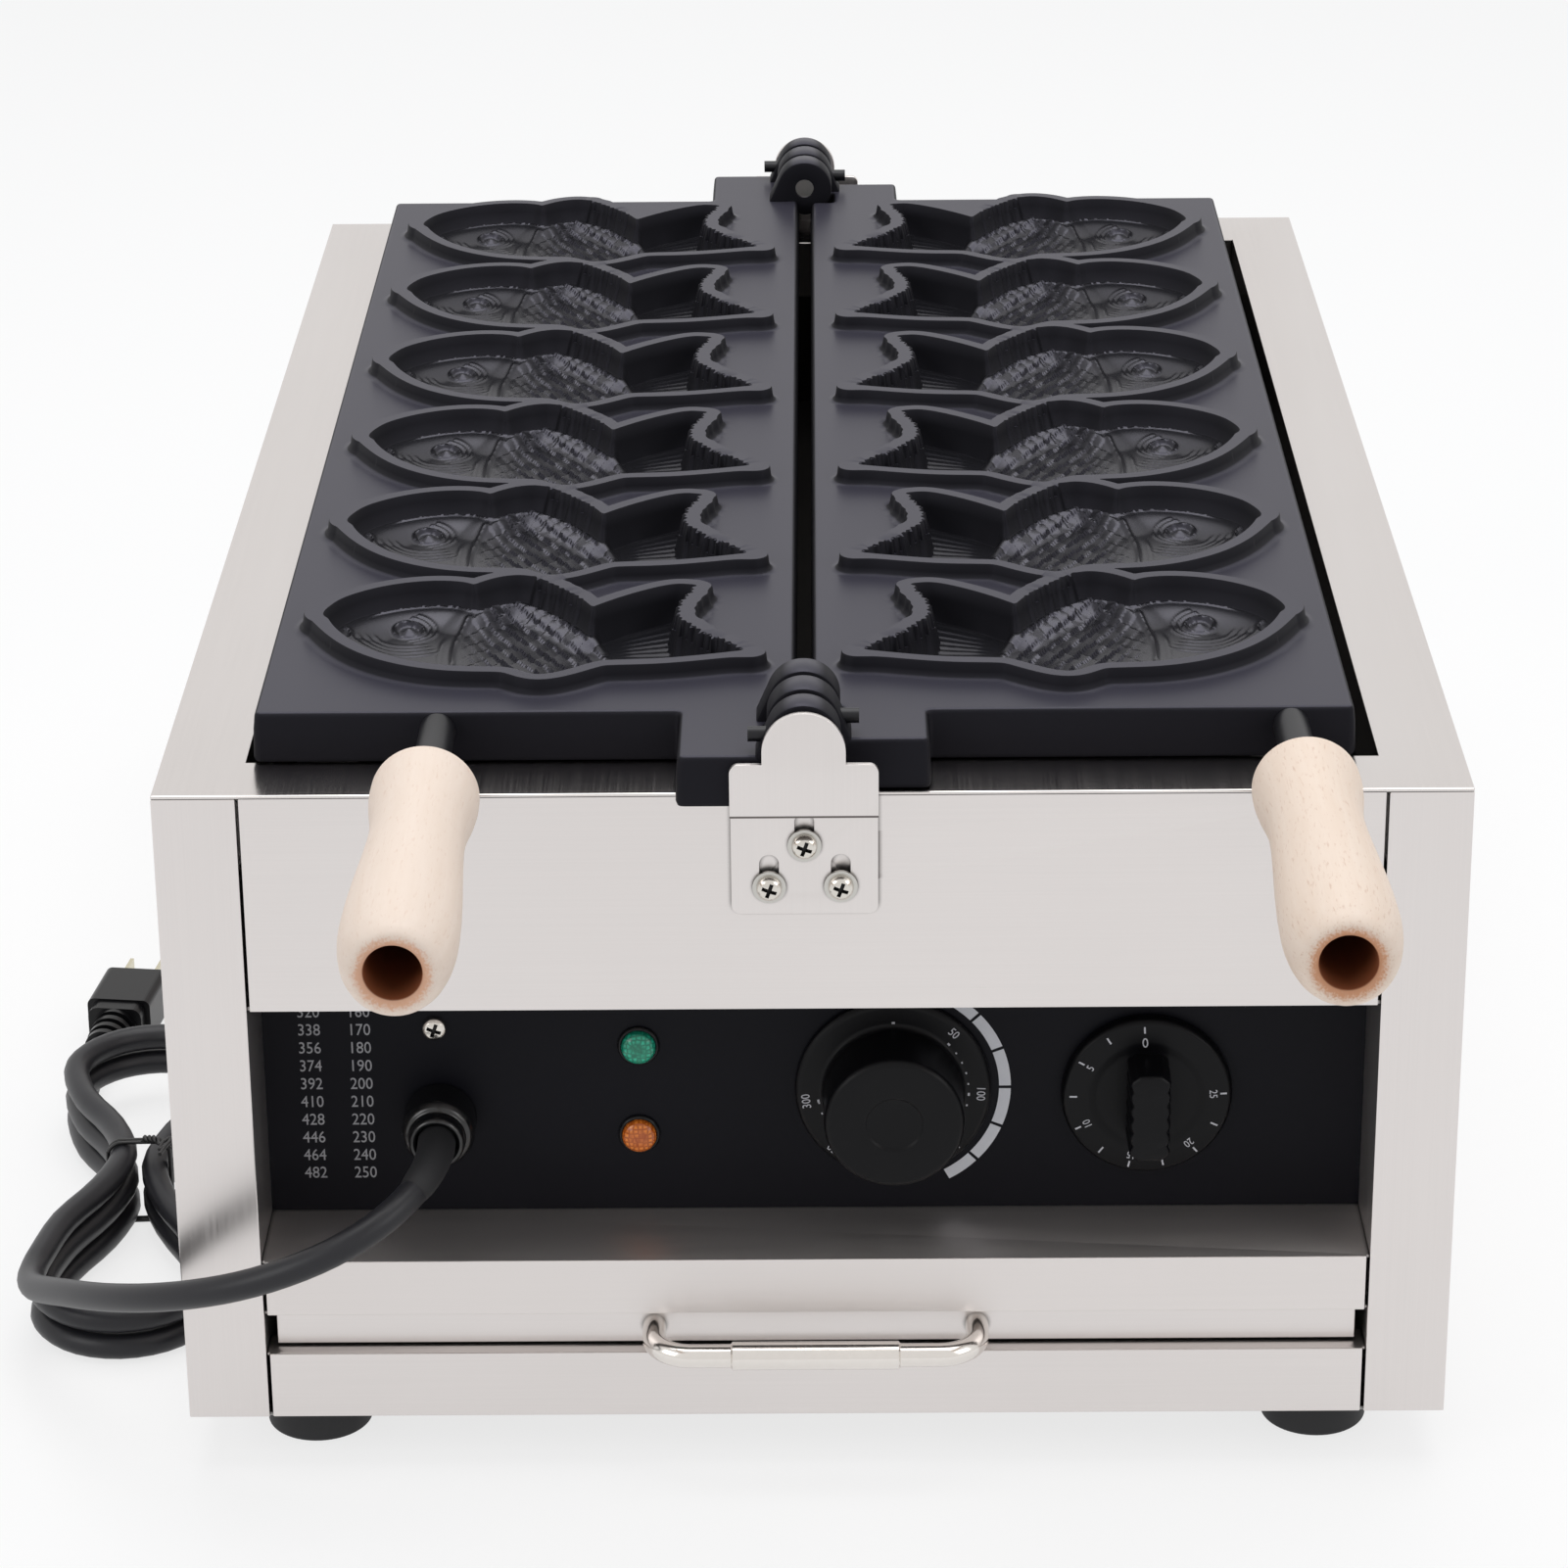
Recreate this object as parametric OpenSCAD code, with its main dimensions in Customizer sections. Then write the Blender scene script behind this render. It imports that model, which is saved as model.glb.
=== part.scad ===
// Countertop fish-cake maker with two cast mould plates that hinge on one shared line.
// Millimetres, +Z up, front towards -Y. The origin is on the table, in the middle of the
// object's plan without its cord.

/* [Body] */
// Width of the stainless body
body_w = 430; // [420:1:450]
// Depth of the body, front to back
body_d = 657.7; // [650:0.1:680]
// Height of the body without its feet
body_h = 231.6; // [225:0.1:250]
// Thickness of the stainless sheet
sheet = 1.2; // [1:0.1:1.5]
// Width of the front flange of each side panel
pillar_w = 27.5; // [25:0.5:28]
// Bottom edge of the front apron above the body's underside
apron_z = 154; // [150:1:158]
// How far the control panel stands back from the front
recess_d = 38; // [35:1:42]
// Top of the control shelf
shelf_z = 60; // [58:1:62]
// Height of the shelf's front bar
shelf_bar_h = 20.5; // [18:0.5:21]
// Height of the lower front bar
lower_bar_h = 24.5; // [22:0.5:25]

/* [Feet] */
// Diameter of a foot
foot_dia = 36.5; // [34:0.5:42]
// Height of a foot
foot_h = 20; // [15:1:25]
// Distance of a foot's centre from the front or rear face
foot_inset = 35; // [30:1:45]

/* [Plates] */
// Place of the hinge line across the body
hinge_x = -2.5; // [-3:0.5:0]
// Thickness of a plate
plate_t = 17.5; // [17:0.5:19]
// Width of one plate, from the middle gap outwards
plate_w = 177.5; // [176:0.5:178]
// Length of one plate, front to back
plate_l = 602.3; // [600:0.1:604]
// Half of the gap between the two plates
half_gap = 3.3; // [2:0.1:4]
// Height of the mould rims above the plate
rim_h = 5.6; // [4:0.1:6]
// Width of a mould rim
rim_w = 6; // [5:0.5:6]
// Depth of a mould below its rim
mould_depth = 14; // [13:0.5:18]
// Number of moulds in a plate
mould_count = 6; // [3:1:6]
// Distance from one mould to the next
mould_pitch = 94.4; // [94:0.1:95]

/* [Handles] */
// Distance of the left handle from the hinge line
left_handle_offset = 120.5; // [115:0.5:125]
// Distance of the right handle from the hinge line
right_handle_offset = 160; // [155:0.5:164]
// Length of a wooden grip
grip_l = 135; // [125:1:138]
// Largest diameter of a grip
grip_dia = 36.2; // [35.5:0.1:38]
// Diameter of the rod that carries a grip
rod_dia = 11.8; // [10:0.1:13]

/* [Controls] */
// Diameter of the temperature dial's skirt
dial_dia = 67; // [60:1:70]
// Diameter of the temperature dial's cap
dial_cap_dia = 47.5; // [40:0.5:50]
// Diameter of the timer knob
timer_dia = 58.5; // [50:0.5:62]
// Diameter of a lamp's lens
lens_dia = 12; // [11.6:0.1:14]

/* [Tray] */
// Width of the tray between its side walls
tray_w = 350; // [340:1:352]
// Depth of the tray
tray_d = 564; // [500:1:570]
// Width of the tray's pull over its two legs
pull_w = 118; // [100:1:140]

/* [Cord] */
// Diameter of the cord
cord_dia = 10; // [8:0.5:10]
// Length of a straight run of the hank
run_l = 150; // [150:5:160]
// Radius of the fold at the end of a run
fold_r = 30; // [30:1:32]

/* [Hidden] */
$fn = 48;

// Small distance by which a cutter runs past a face
past = 1;
// Clearance between pieces that move past each other
gap = 0.3;

// The body's front face lies half-way between the grips' ends and the rear bracket's back
grip_reach = 161.5;
right_grip_reach = 158.5;
// How deep the rod and then its spigot's web lie in a grip
rod_depth = 34;
web_depth = 46;
spigot_dia = 7.9;
bracket_reach = 16;
front_y = (grip_reach - bracket_reach - body_d) / 2;

// Hinge line, above the plates' upper faces by the rims' height and half the closed gap
closed_gap = 0.4;
hinge_z = body_h + plate_t + rim_h + closed_gap / 2;
pin_dia = 8;
bore_dia = 8.12;
knuckle_r = 12;
notch_r = 12.8;
plate_y = (body_d - plate_l) / 2;
lug_w = 40.6 - half_gap;
left_lug_reach = 12;
right_lug_reach = -2.4;
// Where each knuckle begins and ends behind the body's front face
left_knuckles = [[-12, -0.6], [18, 30.5]];
right_knuckles = [[2.4, 15.4]];
left_screw_y = -6.3;
right_screw_y = 8.9;

// Screws of a hinge bracket, from the hinge line
screw_places = [[0, body_h - 17.6], [-11.6, body_h - 32.4], [11.8, body_h - 32.2]];

// Well under the plates
well_x = 186.7;
well_y = 28.4;
well_end = body_d - 34.4;
well_rim = 25;
well_pan_z = body_h - 75;

// Handles lie level with the upper half of the plates
handle_z = body_h + 11.4;

// Controls on the panel: place across and height above the body's underside
dial_at = [27, 106];
timer_at = [113.5, 104];
green_at = [-59.7, 122.4];
orange_at = [-60, 88.8];
gland_at = [-128, 96];
panel_screw_at = [-129, 129.5];

// Slot for the tray between the two front bars
slot_z0 = lower_bar_h + 1;
slot_z1 = shelf_z - shelf_bar_h - 1;
strip_y = 6;
pull_z = 32;

// Outline of one mould seen from above, nose towards +X, anticlockwise from the lower tail tip
FISH = [
    [-72, -26], [-56, -31], [-26, -34.5], [-15, -41.5], [-4.5, -47.5], [0, -46], [9, -40],
    [25, -39], [41, -33.5], [56, -21.5], [67, -4.5], [72, 11], [68, 25], [53, 37.5],
    [35, 42], [23, 37.5], [14, 45.5], [7.5, 47], [-2, 40.5], [-12, 27.5], [-19, 14.5],
    [-33, 28], [-48, 37.5], [-54, 36], [-50, 21], [-48.5, 8], [-55, -5], [-64, -17]
];
fish_x = 92;
first_mould_y = 95;

// Where the cord begins, in front of the panel and inside the gland's mouth
gland_reach = 18;

// The lead's route from the gland to the hank: across, behind the body's front, above the table
LEAD = [
    [-128, 20, 116], [-128, 9, 116], [-130.5, -3.6, 114.5], [-136.5, -15.9, 111.3],
    [-146.3, -25.8, 106.7], [-159.6, -31.8, 100.8], [-175.2, -33.2, 94.3], [-191.8, -29.8, 87.3],
    [-208.1, -21.9, 80.1], [-223.6, -10.2, 72.4], [-237.7, 4.5, 64.3], [-250.3, 21.2, 55.9],
    [-261.1, 38.7, 47.5], [-270.5, 56, 39], [-277.9, 71.5, 31.8], [-281.6, 84.2, 27.9]
];
// Last straight stretch of the lead before the hank
lead_end = 10;
// The hank lies beside the body: its middle, its turn about it, and the way its loops are laid
hank_x = -255;
hank_y = 181;
hank_turn = 3;
rings_a_loop = 24;
loop_count = 2;
layer_step = 10.7;
bottom_layer_z = 5.3;
pinch = 24.4;
tie_lift = 1.4;
// Last stretch of the cord, from the lowest run to the plug
TAIL = [
    [-289.7, 269, 5.3], [-289.6, 281, 6.4], [-288.8, 292, 9.2], [-288.2, 297, 10], [-287, 307, 10]
];

// Inner edge of the side panels' flanges, and half the width of the sheets set between them
inner = body_w / 2 - pillar_w;
face_half = inner - 1.1;

// Every part of the body is drawn from the middle of its front lower edge
module at_body() {
    translate([0, front_y, foot_h]) children();
}

// The cord lies on the table, so it's drawn from the table up
module at_table() {
    translate([0, front_y, 0]) children();
}

// Everything that hangs on the hinge line is drawn from the line itself
module at_hinge() {
    at_body() translate([hinge_x, 0, 0]) children();
}

// A box from its lowest to its highest corner
module block(from, to) {
    translate(from) cube(to - from);
}

// A cylinder along Y from one depth to another
module rod_y(x, z, dia, y0, y1) {
    translate([x, y0, z]) rotate([-90, 0, 0]) cylinder(d = dia, h = y1 - y0);
}

// A stroke-ended slot cut through a sheet that faces the front
module slot_y(x, z, dia, rise, y0, y1) {
    rod_y(x, z, dia, y0, y1);
    rod_y(x, z + rise, dia, y0, y1);
    block([x - dia / 2, y0, z], [x + dia / 2, y1, z + rise]);
}

module mirrored(side) {
    if (side < 0) mirror([1, 0, 0]) children();
    else children();
}

// One folded side panel: wall, front and rear flanges, a return behind the front flange, a foot
module side_panel(side) {
    lower_return_h = apron_z + sheet;
    upper_return_h = body_h - 30;
    color([0.84, 0.82, 0.81]) at_body() mirrored(side) {
        block([body_w / 2 - sheet, 0, 0], [body_w / 2, body_d, body_h - sheet]);
        block([inner, 0, 0], [body_w / 2 - sheet, sheet, body_h - sheet]);
        block([inner, body_d - sheet, 0], [body_w / 2 - sheet, body_d, body_h - sheet]);
        block([inner, sheet, 0], [inner + sheet, recess_d + sheet, lower_return_h]);
        block([inner, sheet, lower_return_h], [inner + sheet, well_y - 2 * sheet, upper_return_h]);
        block([inner + sheet, sheet, 0], [body_w / 2 - sheet, body_d - sheet, sheet]);
    }
}

// Top sheet with the window for the plates and a turned-down rim round it
module top_frame() {
    color([0.84, 0.82, 0.81]) at_body() difference() {
        union() {
            block([-body_w / 2, 0, body_h - sheet], [body_w / 2, body_d, body_h]);
            block([-well_x - sheet, well_y - sheet, body_h - well_rim],
                  [well_x + sheet, well_end + sheet, body_h - sheet]);
        }
        block([-well_x, well_y, body_h - well_rim - past], [well_x, well_end, body_h + past]);
    }
}

// Pan under the window that holds the heaters
module well_pan() {
    low = [-well_x - sheet, well_y - sheet, well_pan_z];
    high = [well_x + sheet, well_end + sheet, body_h - well_rim];
    wall = [sheet, sheet, sheet];
    color([0.25, 0.25, 0.26]) at_body() difference() {
        block(low, high);
        block(low + wall, [high.x - sheet, high.y - sheet, high.z + past]);
    }
}

// Apron under the plates' front edge, with a lip turned in above the controls
module front_apron() {
    color([0.84, 0.82, 0.81]) at_body() difference() {
        union() {
            block([-face_half, 0, apron_z], [face_half, sheet, body_h - sheet]);
            block([-inner, sheet, apron_z], [inner, recess_d, apron_z + sheet]);
        }
        bracket_screw_holes(0);
    }
}

// Holes for one bracket's screws, through the sheet whose front face is at y
module bracket_screw_holes(y) {
    for (place = screw_places)
        rod_y(hinge_x + place.x, place.y, 5.4, y - past, y + sheet + past);
}

// Painted panel that carries the dials, lamps and cord
module control_panel() {
    color([0.11, 0.11, 0.13]) at_body() difference() {
        block([-inner, recess_d, shelf_z], [inner, recess_d + sheet, apron_z + sheet]);
        for (place = [dial_at, timer_at, green_at, orange_at])
            rod_y(place.x, place.y, 12, recess_d - past, recess_d + sheet + past);
        rod_y(gland_at.x, gland_at.y, 16, recess_d - past, recess_d + sheet + past);
        rod_y(panel_screw_at.x, panel_screw_at.y, 4, recess_d - past, recess_d + sheet + past);
    }
}

// Shelf at the foot of the recess, folded down into the upper front bar
module control_shelf() {
    bar_z = shelf_z - shelf_bar_h;
    color([0.84, 0.82, 0.81]) at_body() {
        block([-inner, sheet, shelf_z - sheet], [inner, recess_d + sheet, shelf_z]);
        block([-face_half, 0, bar_z], [face_half, sheet, shelf_z]);
        block([-inner, sheet, bar_z], [inner, 12, bar_z + sheet]);
    }
}

// Bar across the foot of the front, folded back at its upper edge
module lower_front_bar() {
    color([0.84, 0.82, 0.81]) at_body() {
        block([-face_half, 0, 0], [face_half, sheet, lower_bar_h]);
        block([-inner, sheet, lower_bar_h - sheet], [inner, 14, lower_bar_h]);
    }
}

// Sheet that closes the body below
module base_pan() {
    color([0.7, 0.7, 0.7]) at_body() difference() {
        block([-inner, sheet, 0], [inner, body_d - sheet, sheet]);
        foot_places() cylinder(d = 5.4, h = 10, center = true);
    }
}

// Rear sheet with rows of cooling slots level with the controls' chamber
module rear_panel() {
    slot = [90, 4, 4];
    slot_pitch = 14;
    color([0.84, 0.82, 0.81]) at_body() difference() {
        block([-inner, body_d - sheet, 0], [inner, body_d, body_h - sheet]);
        for (row = [0:4]) for (side = [-1, 1])
            translate([side * 80, body_d - sheet / 2, 70 + row * slot_pitch]) cube(slot, center = true);
        bracket_screw_holes(body_d - sheet);
    }
}

module foot_places() {
    for (x = [-174, 174]) for (y = [foot_inset, body_d - foot_inset])
        translate([x, y, 0]) children();
}

// One turned rubber foot, bored for its screw from below
module foot(side, y) {
    color([0.08, 0.08, 0.08]) at_body() translate([side * 174, y, 0]) rotate_extrude()
        polygon([[2.7, -14], [7, -14], [7, -foot_h], [foot_dia / 2 - 0.8, -foot_h],
                 [foot_dia / 2, 0.8 - foot_h], [foot_dia / 2 - 1.5, 0], [2.7, 0]]);
}

// Screws that hold the feet, each with its nut inside
module foot_screws() {
    color([0.75, 0.74, 0.72]) at_body() foot_places() {
        translate([0, 0, -14]) cylinder(d = 5, h = 22);
        translate([0, 0, -17]) cylinder(d = 10, h = 3);
        translate([0, 0, sheet]) cylinder(d = 9, h = 4, $fn = 6);
    }
}

// Hinge bracket: screwed foot, step forward under the knuckles, and the round-topped tab
module hinge_bracket_shape() {
    thick = 2;
    step_z = body_h - 0.2;
    shoulder_z = body_h + 16.3;
    tab_r = 13.5;
    tab_z = body_h + 20.5;
    foot_z = body_h - 42.2;
    corner = 3;
    difference() {
        union() {
            block([-24, -thick, foot_z + corner], [24, 0, step_z]);
            block([-24 + corner, -thick, foot_z], [24 - corner, 0, foot_z + corner]);
            for (x = [corner - 24, 24 - corner]) rod_y(x, foot_z + corner, 2 * corner, -thick, 0);
            block([-24, -bracket_reach, step_z - thick], [24, -thick, step_z]);
            block([-24, -bracket_reach, step_z], [24, thick - bracket_reach, shoulder_z - corner]);
            block([corner - 24, -bracket_reach, shoulder_z - corner],
                  [24 - corner, thick - bracket_reach, shoulder_z]);
            for (x = [corner - 24, 24 - corner])
                rod_y(x, shoulder_z - corner, 2 * corner, -bracket_reach, thick - bracket_reach);
            block([-tab_r, -bracket_reach, shoulder_z - corner], [tab_r, thick - bracket_reach, tab_z]);
            rod_y(0, tab_z, 2 * tab_r, -bracket_reach, thick - bracket_reach);
        }
        for (place = screw_places) slot_y(place.x, place.y, 6.4, 8, -thick - past, past);
    }
}

// The rear end repeats the front end, turned about the body's middle
module front_and_rear() {
    children();
    translate([0, body_d, 0]) mirror([0, 1, 0]) children();
}

module at_rear() {
    translate([0, body_d, 0]) mirror([0, 1, 0]) children();
}

module front_hinge_bracket() {
    color([0.84, 0.82, 0.81]) at_hinge() hinge_bracket_shape();
}

module rear_hinge_bracket() {
    color([0.84, 0.82, 0.81]) at_hinge() at_rear() hinge_bracket_shape();
}

// Pan-head screws of both brackets
module bracket_screws() {
    head_y = -3.1;
    color([0.8, 0.79, 0.76]) at_hinge() front_and_rear() for (place = screw_places) difference() {
        union() {
            rod_y(place.x, place.y, 5, head_y, 10);
            rod_y(place.x, place.y, 8.4, head_y - 2, head_y);
            rod_y(place.x, place.y, 6.4, head_y - 3.2, head_y - 2);
        }
        block([place.x - 0.6, head_y - 4, place.y - 2.4], [place.x + 0.6, head_y - 1.4, place.y + 2.4]);
        block([place.x - 2.4, head_y - 4, place.y - 0.6], [place.x + 2.4, head_y - 1.4, place.y + 0.6]);
    }
}

module bracket_washers() {
    color([0.8, 0.79, 0.76]) at_hinge() front_and_rear() for (place = screw_places) difference() {
        rod_y(place.x, place.y, 11, -3.1, -2);
        rod_y(place.x, place.y, 5.3, -4, -1);
    }
}

// Nuts behind the sheet
module bracket_nuts() {
    color([0.7, 0.7, 0.68]) at_hinge() front_and_rear() for (place = screw_places)
        translate([place.x, sheet, place.y]) rotate([-90, 0, 0]) difference() {
            cylinder(d = 9, h = 4, $fn = 6);
            translate([0, 0, -past]) cylinder(d = 5.3, h = 4 + 2 * past);
        }
}

module hinge_pin_shape() {
    rod_y(0, hinge_z, pin_dia, 2 - bracket_reach, 29);
}

module front_hinge_pin() {
    color([0.75, 0.74, 0.72]) at_hinge() hinge_pin_shape();
}

module rear_hinge_pin() {
    color([0.75, 0.74, 0.72]) at_hinge() at_rear() hinge_pin_shape();
}

// Unit vector square to the edge from a to b, on the outline's outer side
function edge_normal(a, b) = [b.y - a.y, a.x - b.x] / norm(b - a);

// A closed outline moved outwards by a distance, corner by corner
function outset(points, distance) = [
    for (i = [0:len(points) - 1])
        let (before = points[(i + len(points) - 1) % len(points)])
        let (after = points[(i + 1) % len(points)])
        let (n = edge_normal(before, points[i]))
        let (m = edge_normal(points[i], after))
        points[i] + distance * (n + m) / max(1 + n * m, 0.7)
];

module mould_places() {
    for (i = [0:mould_count - 1])
        translate([fish_x, first_mould_y + i * mould_pitch, 0]) children();
}

// Knuckles of one plate: a ring, and a web that widens from it down to the lug
module knuckles(spans) {
    flank = [15.5, body_h + plate_t - hinge_z];
    touch = atan2(flank.y, flank.x) + acos(knuckle_r / norm(flank));
    for (span = spans) {
        rod_y(0, hinge_z, 2 * knuckle_r, span[0], span[1]);
        translate([0, span[1], hinge_z]) rotate([90, 0, 0]) linear_extrude(height = span[1] - span[0])
            polygon([[half_gap, body_h + gap - hinge_z], [flank.x, body_h + gap - hinge_z], flank,
                     knuckle_r * [cos(touch), sin(touch)], [half_gap, knuckle_r * sin(touch)]]);
    }
}

// Seat or body of the small screw in the side of each end's outer knuckle
module knuckle_screw_shape(y, dia) {
    translate([10.5, y, hinge_z]) rotate([0, 90, 0]) cylinder(d = dia, h = 7.5);
}

// Room for the other plate's knuckles
module knuckle_notches(spans) {
    for (span = spans) rod_y(0, hinge_z, 2 * notch_r, span[0] - 1.2, span[1] + 1.2);
}

// One cast plate, drawn to the right of the hinge line
module plate_shape(own, other, lug_reach, rod_x, screw_y) {
    low = body_h + gap;
    top = body_h + plate_t;
    outer = half_gap + plate_w;
    difference() {
        union() {
            difference() {
                union() {
                    block([half_gap, plate_y, low], [outer, plate_y + plate_l, top]);
                    block([half_gap, -lug_reach, low], [half_gap + lug_w, body_d + lug_reach, top]);
                }
                knuckle_notches(other);
                at_rear() knuckle_notches(other);
            }
            translate([0, 0, top - past]) mould_places()
                linear_extrude(height = rim_h + past) polygon(outset(FISH, rim_w));
            knuckles(own);
            at_rear() knuckles(own);
        }
        translate([0, 0, top + rim_h - mould_depth]) mould_places()
            linear_extrude(height = mould_depth + past) polygon(FISH);
        rod_y(0, hinge_z, bore_dia, -30, body_d + 30);
        rod_y(rod_x, handle_z, spigot_dia + 0.1, plate_y - past, plate_y + 15);
        front_and_rear() knuckle_screw_shape(screw_y, 5.1);
    }
}

module left_plate() {
    color([0.3, 0.3, 0.33]) at_hinge() mirrored(-1)
        plate_shape(left_knuckles, right_knuckles, left_lug_reach, left_handle_offset, left_screw_y);
}

module right_plate() {
    color([0.3, 0.3, 0.33]) at_hinge()
        plate_shape(right_knuckles, left_knuckles, right_lug_reach, right_handle_offset, right_screw_y);
}

// Small screws that hold each plate's knuckles from the side
module knuckle_screws(side, y) {
    color([0.1, 0.1, 0.1]) at_hinge() mirrored(side) front_and_rear() knuckle_screw_shape(y, 5);
}

// Rod from the plate's front face into its grip, with a spigot in the plate
module handle_rod(side, offset_x, reach) {
    rear_y = grip_l - reach;
    color([0.35, 0.35, 0.38]) at_hinge() mirrored(side) {
        rod_y(offset_x, handle_z, rod_dia, rear_y - rod_depth, plate_y);
        rod_y(offset_x, handle_z, spigot_dia, plate_y, plate_y + 14);
        rod_y(offset_x, handle_z, spigot_dia, rear_y - web_depth - 10, rear_y - rod_depth);
    }
}

// Nut that holds the grip on its rod, deep in the grip's front bore
module grip_nut(side, offset_x, reach) {
    web_y = grip_l - reach - web_depth;
    color([0.6, 0.6, 0.6]) at_hinge() mirrored(side) difference() {
        rod_y(offset_x, handle_z, 15, web_y - 7, web_y);
        rod_y(offset_x, handle_z, spigot_dia + 0.1, web_y - 7 - past, web_y + past);
    }
}

// Turned wooden grip: crisp rear edge, slight waist, full bulb and chamfered front bore
module grip(side, offset_x, reach) {
    bore_r = 8.7;
    rod_r = rod_dia / 2 + 0.05;
    spigot_r = spigot_dia / 2 + 0.15;
    color([0.92, 0.85, 0.77]) at_hinge() mirrored(side)
        translate([offset_x, -reach, handle_z]) rotate([-90, 0, 0]) rotate_extrude() polygon([
            [bore_r + 1.5, 0], [12.2, 0], [14.7, 2.5], [16.4, 7.5], [17.5, 14], [grip_dia / 2, 26],
            [17.9, 38], [17.3, 52], [16.6, 64], [15.9, 76], [15.3, 88], [15.1, 97], [15.3, 104],
            [16, 112], [17, 120], [17.5, 127], [17.4, grip_l - 0.8], [16.8, grip_l],
            [rod_r, grip_l], [rod_r, grip_l - rod_depth], [spigot_r, grip_l - rod_depth],
            [spigot_r, grip_l - web_depth], [bore_r, grip_l - web_depth], [bore_r, 1.5]
        ]);
}

// Tubular heater: three hairpins under one plate, with both ends turned down at the front
module heater(side) {
    tube = 8;
    z = body_h - 10;
    y0 = 60;
    y1 = body_d - 70;
    bend = 14;
    first_x = 35;
    legs = 6;
    color([0.2, 0.2, 0.21]) at_hinge() mirrored(side) {
        for (i = [0:legs - 1]) rod_y(first_x + i * 2 * bend, z, tube, y0, y1);
        for (i = [0:2:legs - 2]) translate([first_x + (2 * i + 1) * bend, y1, z])
            rotate_extrude(angle = 180) translate([bend, 0]) circle(d = tube);
        for (i = [1:2:legs - 3]) translate([first_x + (2 * i + 1) * bend, y0, z])
            rotate(180) rotate_extrude(angle = 180) translate([bend, 0]) circle(d = tube);
        for (x = [first_x, first_x + (legs - 1) * 2 * bend]) {
            translate([x, y0, z]) sphere(d = tube);
            translate([x, y0, well_pan_z + sheet]) cylinder(d = tube, h = z - well_pan_z - sheet);
        }
    }
}

// Shallow tray with its front strip, drawn shut
module drip_tray() {
    half = tray_w / 2;
    floor_z = slot_z0 + 0.5;
    back = strip_y + tray_d;
    color([0.8, 0.79, 0.78]) at_body() difference() {
        union() {
            block([-184, strip_y, slot_z0], [184, strip_y + sheet, slot_z1]);
            block([-half, strip_y, floor_z], [half, back, slot_z1 - 0.5]);
        }
        block([sheet - half, strip_y + sheet, floor_z + sheet],
              [half - sheet, back - sheet, slot_z1 + past]);
    }
}

// Bow-shaped pull on the tray's strip, thicker where it is held
module tray_pull() {
    dia = 8;
    bend = 13;
    reach = 22;
    half = (pull_w - dia) / 2;
    color([0.85, 0.84, 0.83]) at_body() translate([0, strip_y, pull_z]) {
        for (side = [-1, 1]) {
            rod_y(side * half, 0, dia, bend - reach, 0);
            translate([side * (half - bend), bend - reach, 0]) rotate(side > 0 ? -90 : 180)
                rotate_extrude(angle = 90) translate([bend, 0]) circle(d = dia);
        }
        translate([bend - half, -reach, 0]) rotate([0, 90, 0]) cylinder(d = dia, h = 2 * (half - bend));
        translate([-28, -reach, 0]) rotate([0, 90, 0]) cylinder(d = dia + 1.6, h = 56);
    }
}

// Angle on which the tray slides, with a low guide beside it
module tray_runner(side) {
    top = slot_z0 + 0.5 - gap;
    color([0.7, 0.7, 0.7]) at_body() mirrored(side) {
        block([tray_w / 2 - 8, 45, top - sheet], [body_w / 2 - sheet, 610, top]);
        block([tray_w / 2 + 1, 45, top], [tray_w / 2 + 1 + sheet, 610, top + 9]);
        block([body_w / 2 - 2 * sheet, 45, top - 18], [body_w / 2 - sheet, 610, top - sheet]);
    }
}

// Temperature dial: numbered skirt under a plain round cap
module temperature_dial() {
    face = recess_d - gap;
    cap_reach = 29;
    color([0.07, 0.07, 0.08]) at_body() difference() {
        union() {
            rod_y(dial_at.x, dial_at.y, dial_dia, face - 3, face);
            rod_y(dial_at.x, dial_at.y, dial_cap_dia, recess_d - cap_reach, face - 3);
        }
        rod_y(dial_at.x, dial_at.y, 6, recess_d - 18, recess_d);
    }
}

module temperature_spindle() {
    color([0.7, 0.7, 0.68]) at_body() rod_y(dial_at.x, dial_at.y, 6, recess_d - 18, recess_d + 14);
}

// Thermostat behind the panel, bored for its spindle
module thermostat_body() {
    color([0.75, 0.74, 0.7]) at_body() difference() {
        union() {
            block([dial_at.x - 18, recess_d + 5, dial_at.y - 14],
                  [dial_at.x + 18, recess_d + 40, dial_at.y + 14]);
            rod_y(dial_at.x, dial_at.y, 11, recess_d + sheet, recess_d + 5);
        }
        rod_y(dial_at.x, dial_at.y, 6.1, recess_d, recess_d + 15);
    }
}

// Sensing bulb against the well, fed by a thin tube from the thermostat
module capillary_sensor() {
    z = well_pan_z - 3;
    x = dial_at.x + 30;
    color([0.75, 0.5, 0.35]) at_body() {
        rod_y(x, z, 6, 120, 200);
        rod_y(x, z, 2, 60, 120);
        translate([x, 60, z]) sphere(d = 2);
        translate([x, 60, dial_at.y]) cylinder(d = 2, h = z - dial_at.y);
        translate([x, 60, dial_at.y]) sphere(d = 2);
        translate([dial_at.x + 18, 60, dial_at.y]) rotate([0, 90, 0]) cylinder(d = 2, h = 12);
    }
}

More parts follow.
